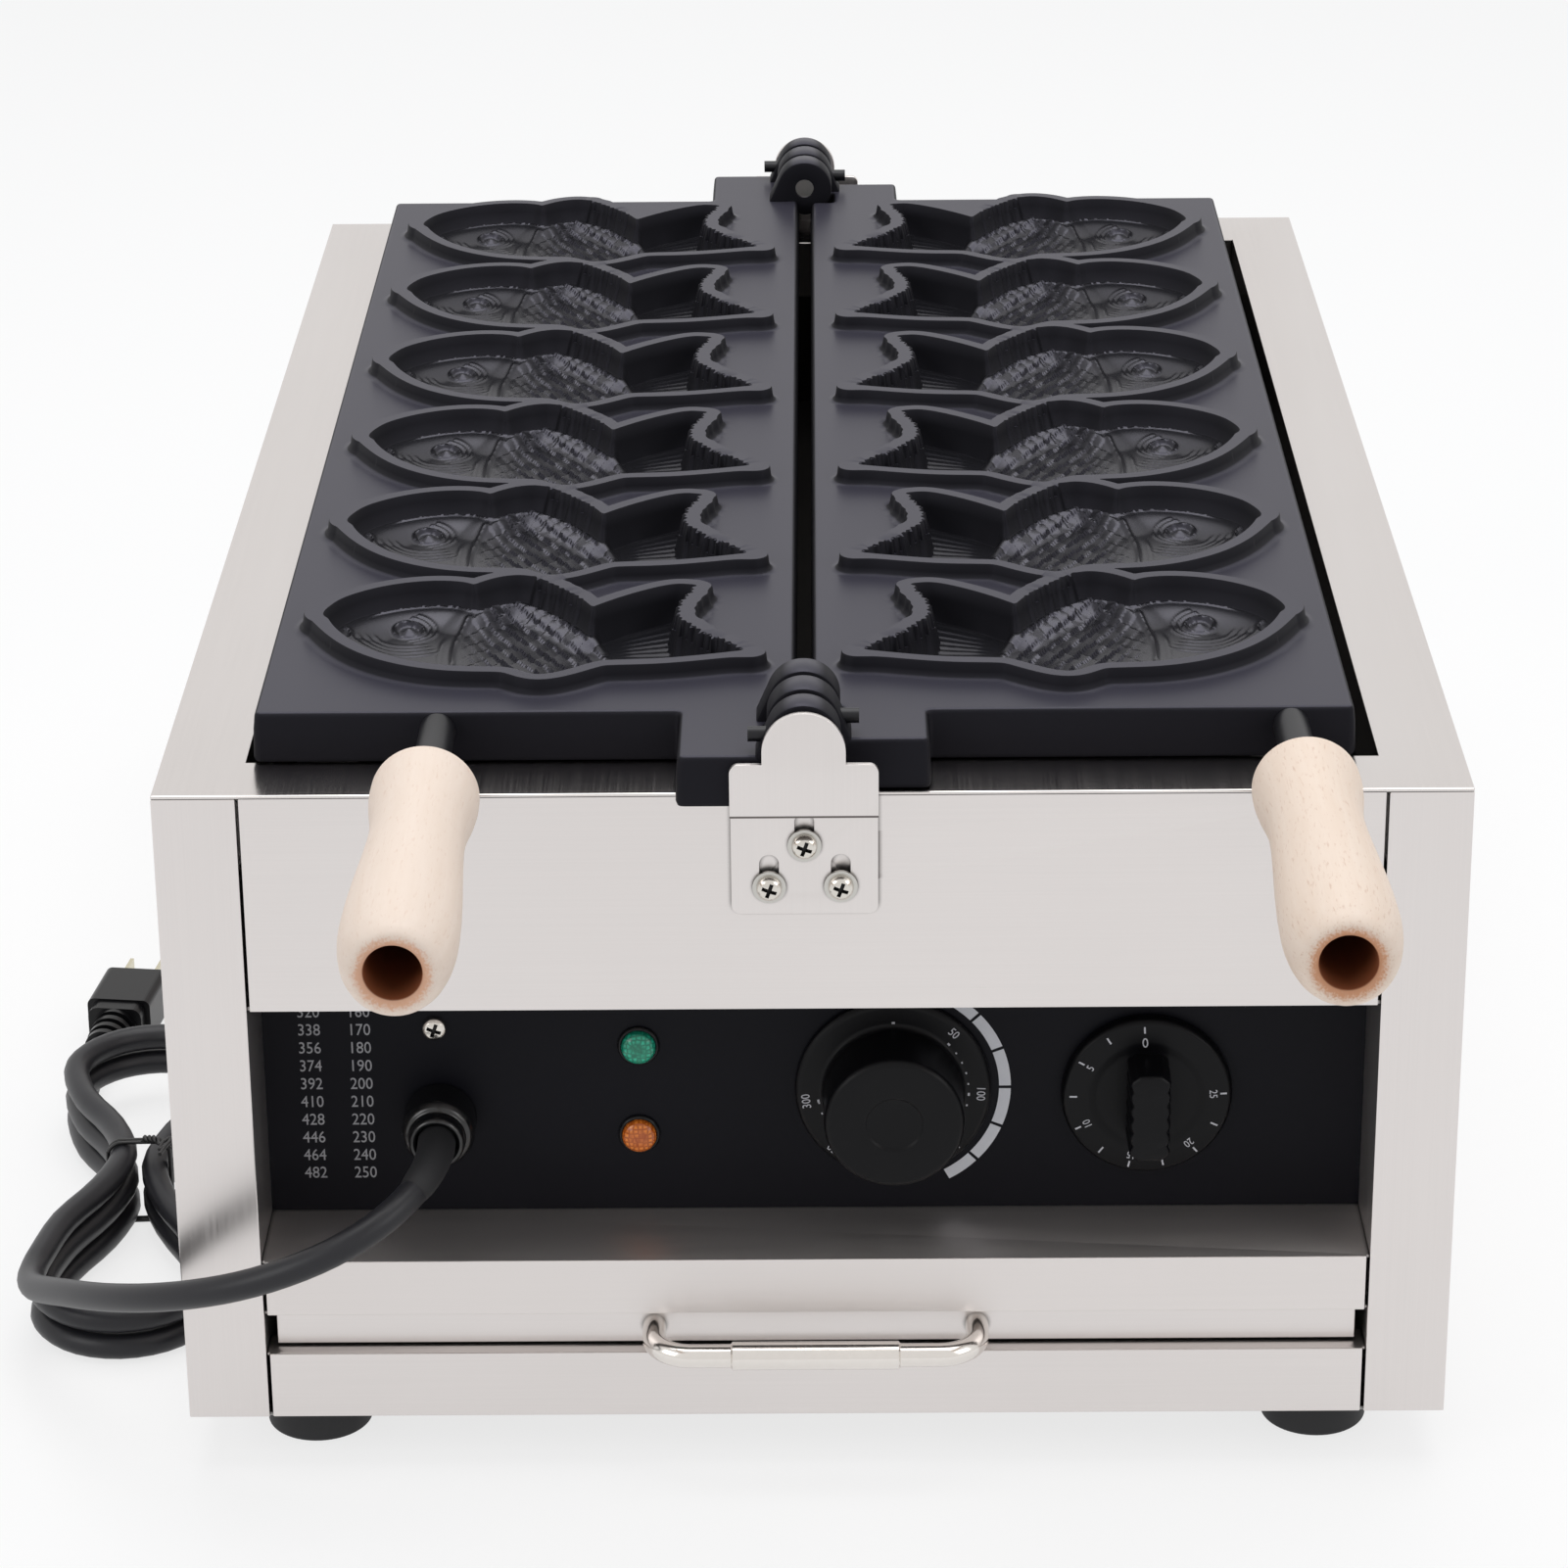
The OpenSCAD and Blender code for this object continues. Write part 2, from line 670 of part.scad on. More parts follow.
// Timer knob: marked disc with an upright, ribbed grip
module timer_knob() {
    face = recess_d - gap;
    grip = [14.5, 33];
    ribs = 4;
    color([0.07, 0.07, 0.08]) at_body() translate([timer_at.x, face, timer_at.y]) rotate([90, 0, 0])
        difference() {
            union() {
                cylinder(d1 = timer_dia, d2 = timer_dia - 1.5, h = 5);
                linear_extrude(height = 22) intersection() {
                    circle(d = grip.y);
                    union() {
                        square([grip.x - 2, grip.y], center = true);
                        for (i = [0:ribs - 1]) for (side = [-1, 1])
                            translate([side * (grip.x / 2 - 2), (i - (ribs - 1) / 2) * 7]) circle(d = 4);
                    }
                }
            }
            translate([0, 0, -past]) cylinder(d = 6, h = 17);
        }
}

module timer_spindle() {
    color([0.7, 0.7, 0.68]) at_body() rod_y(timer_at.x, timer_at.y, 6, recess_d - 16, recess_d + 14);
}

// Clockwork timer behind the panel
module timer_body() {
    color([0.75, 0.74, 0.7]) at_body() difference() {
        union() {
            rod_y(timer_at.x, timer_at.y, 44, recess_d + 5, recess_d + 38);
            rod_y(timer_at.x, timer_at.y, 11, recess_d + sheet, recess_d + 5);
        }
        rod_y(timer_at.x, timer_at.y, 6.1, recess_d, recess_d + 15);
    }
}

// Lamp: domed lens on its low collar, with its holder behind the panel
module lamp(place, tint) {
    lens_r = lens_dia / 2;
    color(tint) at_body() translate([place.x, recess_d, place.y]) rotate([90, 0, 0])
        rotate_extrude() polygon([
            [0, -24], [5.8, -24], [5.8, 0], [lens_r + 1.2, 0], [lens_r + 1.2, 1], [lens_r, 1.2],
            [lens_r, 2.6], [lens_r - 1, 3.8], [lens_r - 3, 4.7], [0, 5.2]
        ]);
}

module panel_screw() {
    color([0.8, 0.79, 0.76]) at_body() {
        rod_y(panel_screw_at.x, panel_screw_at.y, 8.4, recess_d - 3, recess_d);
        rod_y(panel_screw_at.x, panel_screw_at.y, 3.9, recess_d, recess_d + 12);
    }
}

// Ceramic block on the back of the panel, where the mains leads meet the heaters' leads
module terminal_block() {
    width = 65;
    depth = 20;
    height = 19;
    ways = 4;
    pitch = 16;
    low = [-95, recess_d + sheet, shelf_z + 2];
    color([0.9, 0.88, 0.82]) at_body() difference() {
        block(low, low + [width, depth, height]);
        for (i = [0:ways - 1])
            translate(low + [width / 2 + (i - (ways - 1) / 2) * pitch, depth / 2, 7])
                cylinder(d = 8, h = height);
    }
}

// Gland where the cord leaves the panel: round nut, mouth ring and a neck through the sheet
module cord_gland() {
    mouth_r = 7;
    ring_r = 9.5;
    nut_r = 12.5;
    color([0.06, 0.06, 0.07]) at_body() translate([gland_at.x, recess_d, gland_at.y])
        rotate([90, 0, 0]) rotate_extrude() polygon([
            [0, -12], [7.8, -12], [7.8, 0], [nut_r, 0], [nut_r, 14], [nut_r - 1.5, 16], [ring_r, 16.5],
            [ring_r, gland_reach + 2.5], [ring_r - 1.5, gland_reach + 4], [mouth_r, gland_reach + 3],
            [mouth_r - 0.5, gland_reach], [0, gland_reach]
        ]);
}

// Ring of points round one place of a cord, square to the direction it runs in
function cord_ring(at, way, sides) =
    let (across = cross(way, [0, 0, 1]) / norm(cross(way, [0, 0, 1])))
    let (up = cross(across, way))
    let (step = 360 / sides)
    [for (k = [0:sides - 1]) at + cord_dia / 2 * (cos(k * step) * across + sin(k * step) * up)];

function unit(v) = v / norm(v);

function way_at(route, i) =
    unit(route[min(i + 1, len(route) - 1)] - route[max(i - 1, 0)]);

// One tube along a route, as a single closed mesh of triangles
module cord_tube(route, sides) {
    count = len(route);
    points = [for (i = [0:count - 1]) each cord_ring(route[i], way_at(route, i), sides)];
    walls = [
        for (i = [0:count - 2]) for (k = [0:sides - 1])
            let (a = i * sides + k)
            let (b = i * sides + (k + 1) % sides)
            each [[a, a + sides, b], [b, a + sides, b + sides]]
    ];
    first_cap = [for (k = [1:sides - 2]) [0, k, k + 1]];
    last = (count - 1) * sides;
    last_cap = [for (k = [1:sides - 2]) [last, last + k + 1, last + k]];
    polyhedron(points = points, faces = concat(walls, first_cap, last_cap));
}

// How strongly the tie draws the runs together, 1 at the middle and 0 at the folds
function drawn_in(along) = (1 + cos(360 * along / run_l)) / 2;

// Height of the cord: each loop lies on the next and climbs along its right-hand run
function layer_z(layer, along) = bottom_layer_z + layer * layer_step + tie_lift * drawn_in(along);

// A place in the hank, from its middle, set down beside the body
function laid(x, y, z) = [
    hank_x + x * cos(hank_turn) - y * sin(hank_turn),
    hank_y + x * sin(hank_turn) + y * cos(hank_turn), z
];

// Place of ring i of the hank: left run, far fold, right run, near fold, from the top down
function hank_point(i) =
    let (quarter = rings_a_loop / 4)
    let (lap = floor(i / rings_a_loop))
    let (part = floor((i % rings_a_loop) / quarter))
    let (share = (i % quarter) / quarter)
    let (layer = loop_count - lap)
    let (along = (part == 0 ? share - 0.5 : 0.5 - share) * run_l)
    let (side_x = fold_r - pinch * drawn_in(along))
    part == 0 ? laid(-side_x, along, layer_z(layer, along)) :
    part == 1 ? laid(-fold_r * cos(180 * share), run_l / 2 + fold_r * sin(180 * share),
                     layer_z(layer, run_l / 2)) :
    part == 2 ? laid(side_x, along, layer_z(layer - share, along)) :
                laid(fold_r * cos(180 * share), -run_l / 2 - fold_r * sin(180 * share),
                     layer_z(layer - 1, run_l / 2));

// The lead runs on in the direction in which the hank begins
FULL_LEAD = concat(LEAD, [hank_point(0) - lead_end * unit(hank_point(1) - hank_point(0)), hank_point(0)]);
HANK = concat([for (i = [0:loop_count * rings_a_loop + rings_a_loop / 4]) hank_point(i)], TAIL);

function route_length(route) =
    len(route) < 2 ? 0 : [for (i = [1:len(route) - 1]) norm(route[i] - route[i - 1])] *
                         [for (i = [1:len(route) - 1]) 1];

// The hank's route with three more points between each two rings
FINE_HANK = [for (i = [0:len(HANK) - 2]) for (k = [0:3]) HANK[i] + k / 4 * (HANK[i + 1] - HANK[i])];

// Distance between the cord's surfaces wherever two stretches six or more rings apart pass
function least_gap(route) = min([
    for (i = [0:len(route) - 25]) for (j = [i + 24:len(route) - 1]) norm(route[i] - route[j])
]) - cord_dia;

echo(cord_lead_length = route_length(FULL_LEAD), cord_hank_length = route_length(HANK));
echo(least_gap_of_hank = least_gap(FINE_HANK));

module cord_lead() {
    color([0.2, 0.2, 0.22]) at_table() cord_tube(FULL_LEAD, 10);
}

module cord_hank() {
    color([0.2, 0.2, 0.22]) at_table() cord_tube(HANK, 6);
}

// Points round a rectangle with round corners
function round_rectangle(low, high, r) = [
    for (corner = [[high.x - r, high.y - r, 0], [low.x + r, high.y - r, 90],
                   [low.x + r, low.y + r, 180], [high.x - r, low.y + r, 270]])
        for (step = [0:15:90])
            [corner.x, corner.y] + r * [cos(corner.z + step), sin(corner.z + step)]
];

// Flat wire tie round the middle of the hank
module cord_tie() {
    strip = 0.8;
    width = 3;
    half = fold_r - pinch + cord_dia / 2 + 0.3;
    low = bottom_layer_z + tie_lift - cord_dia / 2 - 0.3;
    high = bottom_layer_z + tie_lift + loop_count * layer_step + cord_dia / 2 + 0.3;
    color([0.05, 0.05, 0.06]) at_table() translate([hank_x, hank_y, 0])
        rotate(hank_turn) rotate([90, 0, 0]) linear_extrude(height = width, center = true) difference() {
            polygon(round_rectangle([-half - strip, low - strip], [half + strip, high + strip], 6));
            polygon(round_rectangle([-half, low], [half, high], 5.2));
        }
}

// The plug lies at the cord's end, turned a little towards the body
plug_l = 58;
plug_turn = -7;
module at_plug() {
    at_table() translate(TAIL[len(TAIL) - 1]) rotate(plug_turn) children();
}

// Moulded plug with its ribbed strain relief, lying flat
module plug_body() {
    color([0.06, 0.06, 0.07]) at_plug() rotate([-90, 0, 0]) {
        cylinder(d1 = 12, d2 = 14, h = 23);
        for (i = [0:3]) translate([0, 0, 2 + i * 5.5]) cylinder(d = 15.5 + i * 0.8, h = 3);
        translate([0, 0, 21]) linear_extrude(height = 9) polygon(round_rectangle([-11, -9], [11, 9.8], 4));
        translate([0, 0, 28]) linear_extrude(height = plug_l - 28)
            polygon(round_rectangle([-13, -9.8], [13, 9.8], 3));
    }
}

// Two flat blades and a round earth pin
module plug_pins() {
    color([0.8, 0.77, 0.65]) at_plug() {
        for (x = [-6.35, 6.35])
            block([x - 0.75, plug_l, -0.2], [x + 0.75, plug_l + 17, 6.2]);
        rod_y(0, -5, 4.8, plug_l, plug_l + 20);
    }
}

side_panel(-1);  // side_panel_left
side_panel(1);  // side_panel_right
top_frame();
well_pan();
front_apron();
control_panel();
control_shelf();
lower_front_bar();
base_pan();
rear_panel();
foot(-1, foot_inset);  // foot_front_left
foot(1, foot_inset);  // foot_front_right
foot(-1, body_d - foot_inset);  // foot_rear_left
foot(1, body_d - foot_inset);  // foot_rear_right
foot_screws();
front_hinge_bracket();
rear_hinge_bracket();
bracket_screws();
bracket_washers();
bracket_nuts();
front_hinge_pin();
rear_hinge_pin();
left_plate();
right_plate();
knuckle_screws(-1, left_screw_y);  // left_knuckle_screws
knuckle_screws(1, right_screw_y);  // right_knuckle_screws
handle_rod(-1, left_handle_offset, grip_reach);  // left_handle_rod
handle_rod(1, right_handle_offset, right_grip_reach);  // right_handle_rod
grip(-1, left_handle_offset, grip_reach);  // left_grip
grip(1, right_handle_offset, right_grip_reach);  // right_grip
grip_nut(-1, left_handle_offset, grip_reach);  // left_grip_nut
grip_nut(1, right_handle_offset, right_grip_reach);  // right_grip_nut
heater(-1);  // left_heater
heater(1);  // right_heater
drip_tray();
tray_pull();
tray_runner(-1);  // tray_runner_left
tray_runner(1);  // tray_runner_right
temperature_dial();
temperature_spindle();
thermostat_body();
capillary_sensor();
timer_knob();
timer_spindle();
timer_body();
lamp(green_at, [0.1, 0.6, 0.45]);  // green_lamp
lamp(orange_at, [0.85, 0.45, 0.15]);  // orange_lamp
panel_screw();
terminal_block();
cord_gland();
cord_lead();
cord_hank();
cord_tie();
plug_body();
plug_pins();
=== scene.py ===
import math

import bmesh
import bpy
import numpy as np
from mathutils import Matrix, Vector
from mathutils.geometry import delaunay_2d_cdt


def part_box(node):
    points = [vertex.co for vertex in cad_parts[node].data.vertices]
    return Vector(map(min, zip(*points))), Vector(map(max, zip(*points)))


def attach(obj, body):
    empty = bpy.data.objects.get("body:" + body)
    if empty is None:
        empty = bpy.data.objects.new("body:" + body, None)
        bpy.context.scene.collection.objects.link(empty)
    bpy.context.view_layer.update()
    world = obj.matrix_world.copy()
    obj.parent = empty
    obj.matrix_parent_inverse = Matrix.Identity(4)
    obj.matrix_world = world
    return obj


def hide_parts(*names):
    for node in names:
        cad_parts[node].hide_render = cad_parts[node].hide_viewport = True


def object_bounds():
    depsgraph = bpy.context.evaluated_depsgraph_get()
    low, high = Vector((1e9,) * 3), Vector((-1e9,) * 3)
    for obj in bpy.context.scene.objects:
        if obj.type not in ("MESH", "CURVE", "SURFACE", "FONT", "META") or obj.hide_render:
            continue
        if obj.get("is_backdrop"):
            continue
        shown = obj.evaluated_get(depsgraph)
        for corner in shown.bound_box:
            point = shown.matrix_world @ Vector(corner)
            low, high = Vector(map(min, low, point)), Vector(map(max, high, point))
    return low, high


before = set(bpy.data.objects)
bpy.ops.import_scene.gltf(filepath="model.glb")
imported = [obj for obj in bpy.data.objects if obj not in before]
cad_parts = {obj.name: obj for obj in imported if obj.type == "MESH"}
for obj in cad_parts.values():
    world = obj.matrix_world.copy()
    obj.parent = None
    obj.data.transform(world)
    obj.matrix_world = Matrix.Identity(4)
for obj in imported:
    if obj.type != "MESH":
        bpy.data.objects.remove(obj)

cad_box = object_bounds()


# ---- Studio -----------------------------------------------------------------------------
# A white sweep with one broad softbox above and two weaker ones in front, as for a shop
# photograph. The camera stands 1.7 m away and looks 23 degrees down on the dials' side.

mm = 0.001


def feed(node, inputs):
    """Sets a node's inputs: to values, to sockets, or to another node's first live output."""
    for name, value in inputs.items():
        if isinstance(value, bpy.types.Node):
            value = [out for out in value.outputs if out.enabled][0]
        if isinstance(value, bpy.types.NodeSocket):
            node.id_data.links.new(value, node.inputs[name])
        else:
            node.inputs[name].default_value = value


def add(tree, kind, inputs={}, **settings):
    """Adds one node with its settings, and feeds its inputs."""
    node = tree.nodes.new("ShaderNode" + kind)
    for name, value in settings.items():
        setattr(node, name, value)
    feed(node, inputs)
    return node


scene = bpy.context.scene
scene.view_settings.view_transform = "Standard"
bpy.ops.object.select_all(action="DESELECT")

bpy.ops.object.camera_add(location=(2.785 * mm, -1702.25 * mm, 865.83 * mm),
                          rotation=[math.radians(a) for a in (67.0895, 0.5038, 0.2530)])
camera = bpy.context.active_object
camera.name = "studio_camera"
camera.data.lens = 111.21
camera.data.sensor_width = 36
camera.data.clip_start, camera.data.clip_end = 0.05, 40
scene.camera = camera

world = bpy.data.worlds.new("studio_air")
scene.world = world
world.use_nodes = True
air = world.node_tree
air.nodes.clear()
ray = add(air, "LightPath").outputs
seen = add(air, "Math", {0: ray["Is Camera Ray"], 1: ray["Is Transmission Ray"]},
           operation="MAXIMUM")
soft_air = add(air, "Background", {"Color": (0.95, 0.97, 1.0, 1), "Strength": 0.42})
gloss_air = add(air, "Background", {"Color": (1.0, 0.99, 0.98, 1), "Strength": 0.9})
white_air = add(air, "Background", {"Color": (1, 1, 1, 1), "Strength": 1.0})
lit = add(air, "MixShader", {0: ray["Is Glossy Ray"], 1: soft_air, 2: gloss_air})
shown = add(air, "MixShader", {0: seen, 1: lit, 2: white_air})
add(air, "OutputWorld", {"Surface": shown})

bpy.ops.mesh.primitive_plane_add(size=60, location=(0, 0, 0))
floor = bpy.context.active_object
floor.name = "studio_floor"
sweep = bpy.data.materials.new("white sweep paper")
sweep.use_nodes = True
paper = sweep.node_tree
paper.nodes.clear()
ray = add(paper, "LightPath").outputs
plain = add(paper, "Math", {0: ray["Is Camera Ray"], 1: ray["Is Glossy Ray"]},
            operation="MAXIMUM")
share = add(paper, "Math", {0: plain, 1: 0.74}, operation="MULTIPLY")
matt = add(paper, "BsdfDiffuse", {"Color": (0.9, 0.9, 0.9, 1)})
glow = add(paper, "Emission", {"Color": (1, 1, 1, 1), "Strength": 1.0})
mixed = add(paper, "MixShader", {0: share, 1: matt, 2: glow})
add(paper, "OutputMaterial", {"Surface": mixed})
floor.data.materials.append(sweep)
floor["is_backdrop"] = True

for name, place, aim, size, power in (
        ("overhead_softbox", (0.1, 0.35, 2.4), (0, 0, 0.2), 2.2, 42),
        ("left_softbox", (-2.0, -1.6, 1.5), (0, 0, 0.15), 1.4, 15),
        ("right_softbox", (2.1, -1.5, 1.5), (0, 0, 0.15), 1.4, 13)):
    bpy.ops.object.light_add(type="AREA", location=place)
    lamp = bpy.context.active_object
    lamp.name = name
    lamp.data.shape = "SQUARE"
    lamp.data.size = size
    lamp.data.energy = power
    lamp.rotation_euler = (Vector(aim) - Vector(place)).to_track_quat("-Z", "Y").to_euler()


# ---- Sheet-metal body -------------------------------------------------------------------
# Stainless sheet, 1.2 mm, brushed along each panel and folded on a press brake. The brushing
# shows as fine streaks that soften every reflection along one direction; the folds have
# small round edges that catch the light. Painted shade darkens seams, folds and the sheet
# under other parts, wherever another surface lies within 2.2 mm.

def linear(hex_colour):
    """An sRGB hex value as the linear colour that a shader takes."""
    values = [int(hex_colour[i:i + 2], 16) / 255 for i in (1, 3, 5)]
    return [v / 12.92 if v <= 0.04045 else ((v + 0.055) / 1.055) ** 2.4 for v in values] + [1.0]


def surface(name, **values):
    """A material with one Principled shader: its tree, the shader and Object coordinates."""
    made = bpy.data.materials.new(name)
    made.use_nodes = True
    shader = made.node_tree.nodes["Principled BSDF"]
    for key, value in values.items():
        shader.inputs[key.replace("_", " ")].default_value = value
    place = add(made.node_tree, "TexCoord").outputs["Object"]
    return made, made.node_tree, shader, place


def brushed_sheet(name, streaks, gloss=0.3, tint=("#D4CFCD", "#E0DBD9")):
    """Streaks is the grain's direction: 80 mm long there, and 0.6 mm fine across it."""
    made, tree, shader, place = surface(name, Metallic=1.0, Roughness=gloss)
    stretch = add(tree, "Mapping", {
        "Vector": place, "Scale": [12 if axis in streaks else 1700 for axis in "xyz"]})
    grain = add(tree, "TexNoise", {"Vector": stretch, "Scale": 1.0, "Detail": 3.0,
                                   "Roughness": 0.6})
    clouds = add(tree, "TexNoise", {"Vector": place, "Scale": 9.0, "Detail": 2.0})
    fine = add(tree, "Math", {0: grain, 1: 0.55, 2: 0.22}, operation="MULTIPLY_ADD")
    cloudy = add(tree, "Math", {0: clouds, 1: 0.45, 2: fine}, operation="MULTIPLY_ADD")
    colour = add(tree, "Mix", {0: cloudy, 6: linear(tint[0]), 7: linear(tint[1])},
                 data_type="RGBA")
    # Painted shade: the colour darkens where ambient occlusion finds another surface within 2.2
    # mm.
    seam = add(tree, "AmbientOcclusion", {"Distance": 2.2 * mm}, samples=8)
    unshaded_share = add(tree, "MapRange", {"Value": seam.outputs["AO"], "From Min": 0.45,
                                       "From Max": 0.85, "To Min": 0.35, "To Max": 1.0})
    seam_shaded_colour = add(tree, "Mix", {0: 1.0, 6: colour, 7: unshaded_share}, data_type="RGBA",
                blend_type="MULTIPLY")
    rough = add(tree, "MapRange", {"Value": grain, "To Min": gloss - 0.07,
                                   "To Max": gloss + 0.12})
    bump = add(tree, "Bump", {"Strength": 0.25, "Distance": 0.02 * mm, "Height": grain})
    feed(shader, {"Base Color": seam_shaded_colour, "Roughness": rough, "Normal": bump})
    return made


def dress(made, *nodes):
    """Gives CAD nodes their material."""
    for node in nodes:
        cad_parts[node].data.materials.clear()
        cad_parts[node].data.materials.append(made)


def placed(name, mesh):
    """A mesh as an object of the scene."""
    piece = bpy.data.objects.new(name, mesh)
    scene.collection.objects.link(piece)
    return piece


def pick(*pieces):
    """Selects these pieces alone, the first as the active one."""
    bpy.ops.object.select_all(action="DESELECT")
    for piece in pieces:
        piece.select_set(True)
    bpy.context.view_layer.objects.active = pieces[0]


def finish_piece(piece, name, made, body, nodes=(), angle=32):
    """Names a new piece, smooths it up to an angle, and seats it on its body."""
    pick(piece)
    bpy.ops.object.transform_apply(location=True, rotation=True, scale=True)
    piece.name = piece.data.name = name
    piece.data.materials.clear()
    piece.data.materials.append(made)
    bpy.ops.object.shade_smooth_by_angle(angle=math.radians(angle))
    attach(piece, body)
    if nodes:
        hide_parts(*nodes)
    return piece


def bevelled(node, name, made, edge, body="base", segments=2):
    """A CAD node's copy, welded, with its sharp edges rounded as bent or tumbled metal is."""
    piece = placed(name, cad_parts[node].data.copy())
    shape = bmesh.new()
    shape.from_mesh(piece.data)
    bmesh.ops.remove_doubles(shape, verts=shape.verts, dist=0.002 * mm)
    bmesh.ops.dissolve_limit(shape, angle_limit=math.radians(1.0), verts=shape.verts,
                             edges=shape.edges)
    shape.to_mesh(piece.data)
    shape.free()
    bpy.context.view_layer.objects.active = piece
    rounding = piece.modifiers.new("edge", "BEVEL")
    rounding.width = edge * mm
    rounding.segments = segments
    rounding.limit_method = "ANGLE"
    rounding.angle_limit = math.radians(40)
    rounding.harden_normals = False
    bpy.ops.object.modifier_apply(modifier="edge")
    return finish_piece(piece, name, made, body, (node,), 21)


across = brushed_sheet("stainless brushed across", "x")
along = brushed_sheet("stainless brushed front to back", "y", 0.17, ("#D2CDCB", "#DED9D7"))
upright = brushed_sheet("stainless brushed upright", "z")
satin = brushed_sheet("stainless shelf, dull brushed", "x", 0.42)
bevelled("side_panel_left", "left_side", upright, 0.35)
bevelled("side_panel_right", "right_side", upright, 0.35)
bevelled("top_frame", "top_sheet", along, 0.5)
bevelled("front_apron", "apron", across, 0.55)
bevelled("control_shelf", "shelf", satin, 0.35)
bevelled("lower_front_bar", "lower_bar", across, 0.55)
bevelled("rear_panel", "back_sheet", across, 0.3)

rolled = brushed_sheet("plain rolled steel", "y", 0.42, ("#9C9B99", "#A8A7A5"))
dress(rolled, "base_pan", "tray_runner_left", "tray_runner_right")


# ---- Feet -------------------------------------------------------------------------------
# Moulded rubber feet, turned here from their profile: a flat tread with a round lip, a
# hollow for the screw below, and walls that draw in towards the body.

def curve(start, towards, stop, steps):
    """Points of a short curve from start to stop, drawn towards a third point."""
    return [(1 - t) ** 2 * start + 2 * t * (1 - t) * towards + t ** 2 * stop
            for t in (k / steps for k in range(steps + 1))]


def arc_at(before, here, after, radius, steps):
    """Points of a short arc in a corner's place."""
    a, b = before - here, after - here
    cut = min(radius, a.length * 0.45, b.length * 0.45)
    return curve(here + a.normalized() * cut, here, here + b.normalized() * cut, steps)


def turned(profile, corner, centre, axis, steps=64):
    """Spins a profile round an axis. It is in millimetres: points of (radius, distance along
    the axis), with each inner corner rounded by an arc about `corner` long."""
    points = [Vector((radius * mm, far * mm)) for radius, far in profile]
    eased = points[:1]
    for spot in zip(points, points[1:], points[2:]):
        eased += arc_at(*spot, corner * mm, 3)
    eased += points[-1:]
    aside = Vector((1, 0, 0)) if abs(axis[0]) < 0.5 else Vector((0, 1, 0))
    axis = Vector(axis)
    lines = bpy.data.meshes.new("profile")
    lines.from_pydata([Vector(centre) + aside * p.x + axis * p.y for p in eased],
                      [(i, i + 1) for i in range(len(eased) - 1)], [])
    piece = placed("turned", lines)
    pick(piece)
    bpy.ops.object.mode_set(mode="EDIT")
    bpy.ops.mesh.select_all(action="SELECT")
    bpy.ops.mesh.spin(steps=steps, angle=2 * math.pi, center=centre, axis=axis)
    bpy.ops.mesh.select_all(action="SELECT")
    bpy.ops.mesh.remove_doubles(threshold=0.005 * mm)
    bpy.ops.mesh.normals_make_consistent(inside=False)
    bpy.ops.object.mode_set(mode="OBJECT")
    return piece


def speckled(name, dark, light, rough, grit, depth, **values):
    """Moulded or cast skin: a fine random grit, `grit` millimetres apart, in its relief."""
    made, tree, shader, place = surface(name, Roughness=rough, **values)
    grain = add(tree, "TexNoise", {"Vector": place, "Scale": 1000 / grit, "Detail": 2.0})
    patches = add(tree, "TexNoise", {"Vector": place, "Scale": 22.0, "Detail": 3.0})
    fine = add(tree, "Math", {0: grain, 1: 0.4, 2: 0.1}, operation="MULTIPLY_ADD")
    both = add(tree, "Math", {0: patches, 1: 0.6, 2: fine}, operation="MULTIPLY_ADD")
    colour = add(tree, "Mix", {0: both, 6: linear(dark), 7: linear(light)}, data_type="RGBA")
    bump = add(tree, "Bump", {"Strength": 0.4, "Distance": depth * mm, "Height": grain})
    feed(shader, {"Base Color": colour, "Normal": bump})
    return made


foot_rubber = speckled("moulded black rubber", "#121214", "#1C1C1F", 0.62, 0.8, 0.05)
for place in ("front_left", "front_right", "rear_left", "rear_right"):
    low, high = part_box("foot_" + place)
    foot_r, foot_h = (high.x - low.x) / 2 / mm, (high.z - low.z) / mm
    screw_r, hollow_r, hollow_h = 2.7, 7, 6
    foot = turned([(screw_r, hollow_h), (hollow_r, hollow_h), (hollow_r, 0), (foot_r - 0.8, 0),
                   (foot_r, 0.9), (foot_r - 0.2, 5), (foot_r - 1.5, foot_h), (screw_r, foot_h),
                   (screw_r, hollow_h)], 0.7,
                  ((low.x + high.x) / 2, (low.y + high.y) / 2, low.z), (0, 0, 1))
    finish_piece(foot, "rubber_foot_" + place, foot_rubber, "base", ("foot_" + place,))

zinc = speckled("zinc-plated steel", "#B9B7B2", "#CDCBC6", 0.3, 1.5, 0.02, Metallic=1.0)
dress(zinc, "foot_screws", "bracket_nuts", "left_grip_nut", "right_grip_nut",
      "temperature_spindle", "timer_spindle", "front_hinge_pin", "rear_hinge_pin")


# ---- Heating well -----------------------------------------------------------------------
# A plain steel pan under the window with one tubular heater under each plate. The heaters'
# sheath has darkened with heat; the pan is heat-darkened in patches.

baked = speckled("heat-darkened steel", "#2B2A2B", "#4A4744", 0.5, 2.0, 0.05, Metallic=0.8)
sheath = speckled("oxidised heater sheath", "#24211F", "#3B3531", 0.6, 0.9, 0.06, Metallic=0.6)
dress(baked, "well_pan")
dress(sheath, "left_heater", "right_heater")


# ---- Drip tray --------------------------------------------------------------------------
# A shallow folded tray with a front strip that nearly fills the slot, and a bow-shaped pull
# of bent rod, thicker where the fingers go round it.

def solid(shape, name):
    """The object made of a bmesh, its faces turned outwards."""
    bmesh.ops.recalc_face_normals(shape, faces=shape.faces)
    mesh = bpy.data.meshes.new(name)
    shape.to_mesh(mesh)
    shape.free()
    return placed(name, mesh)


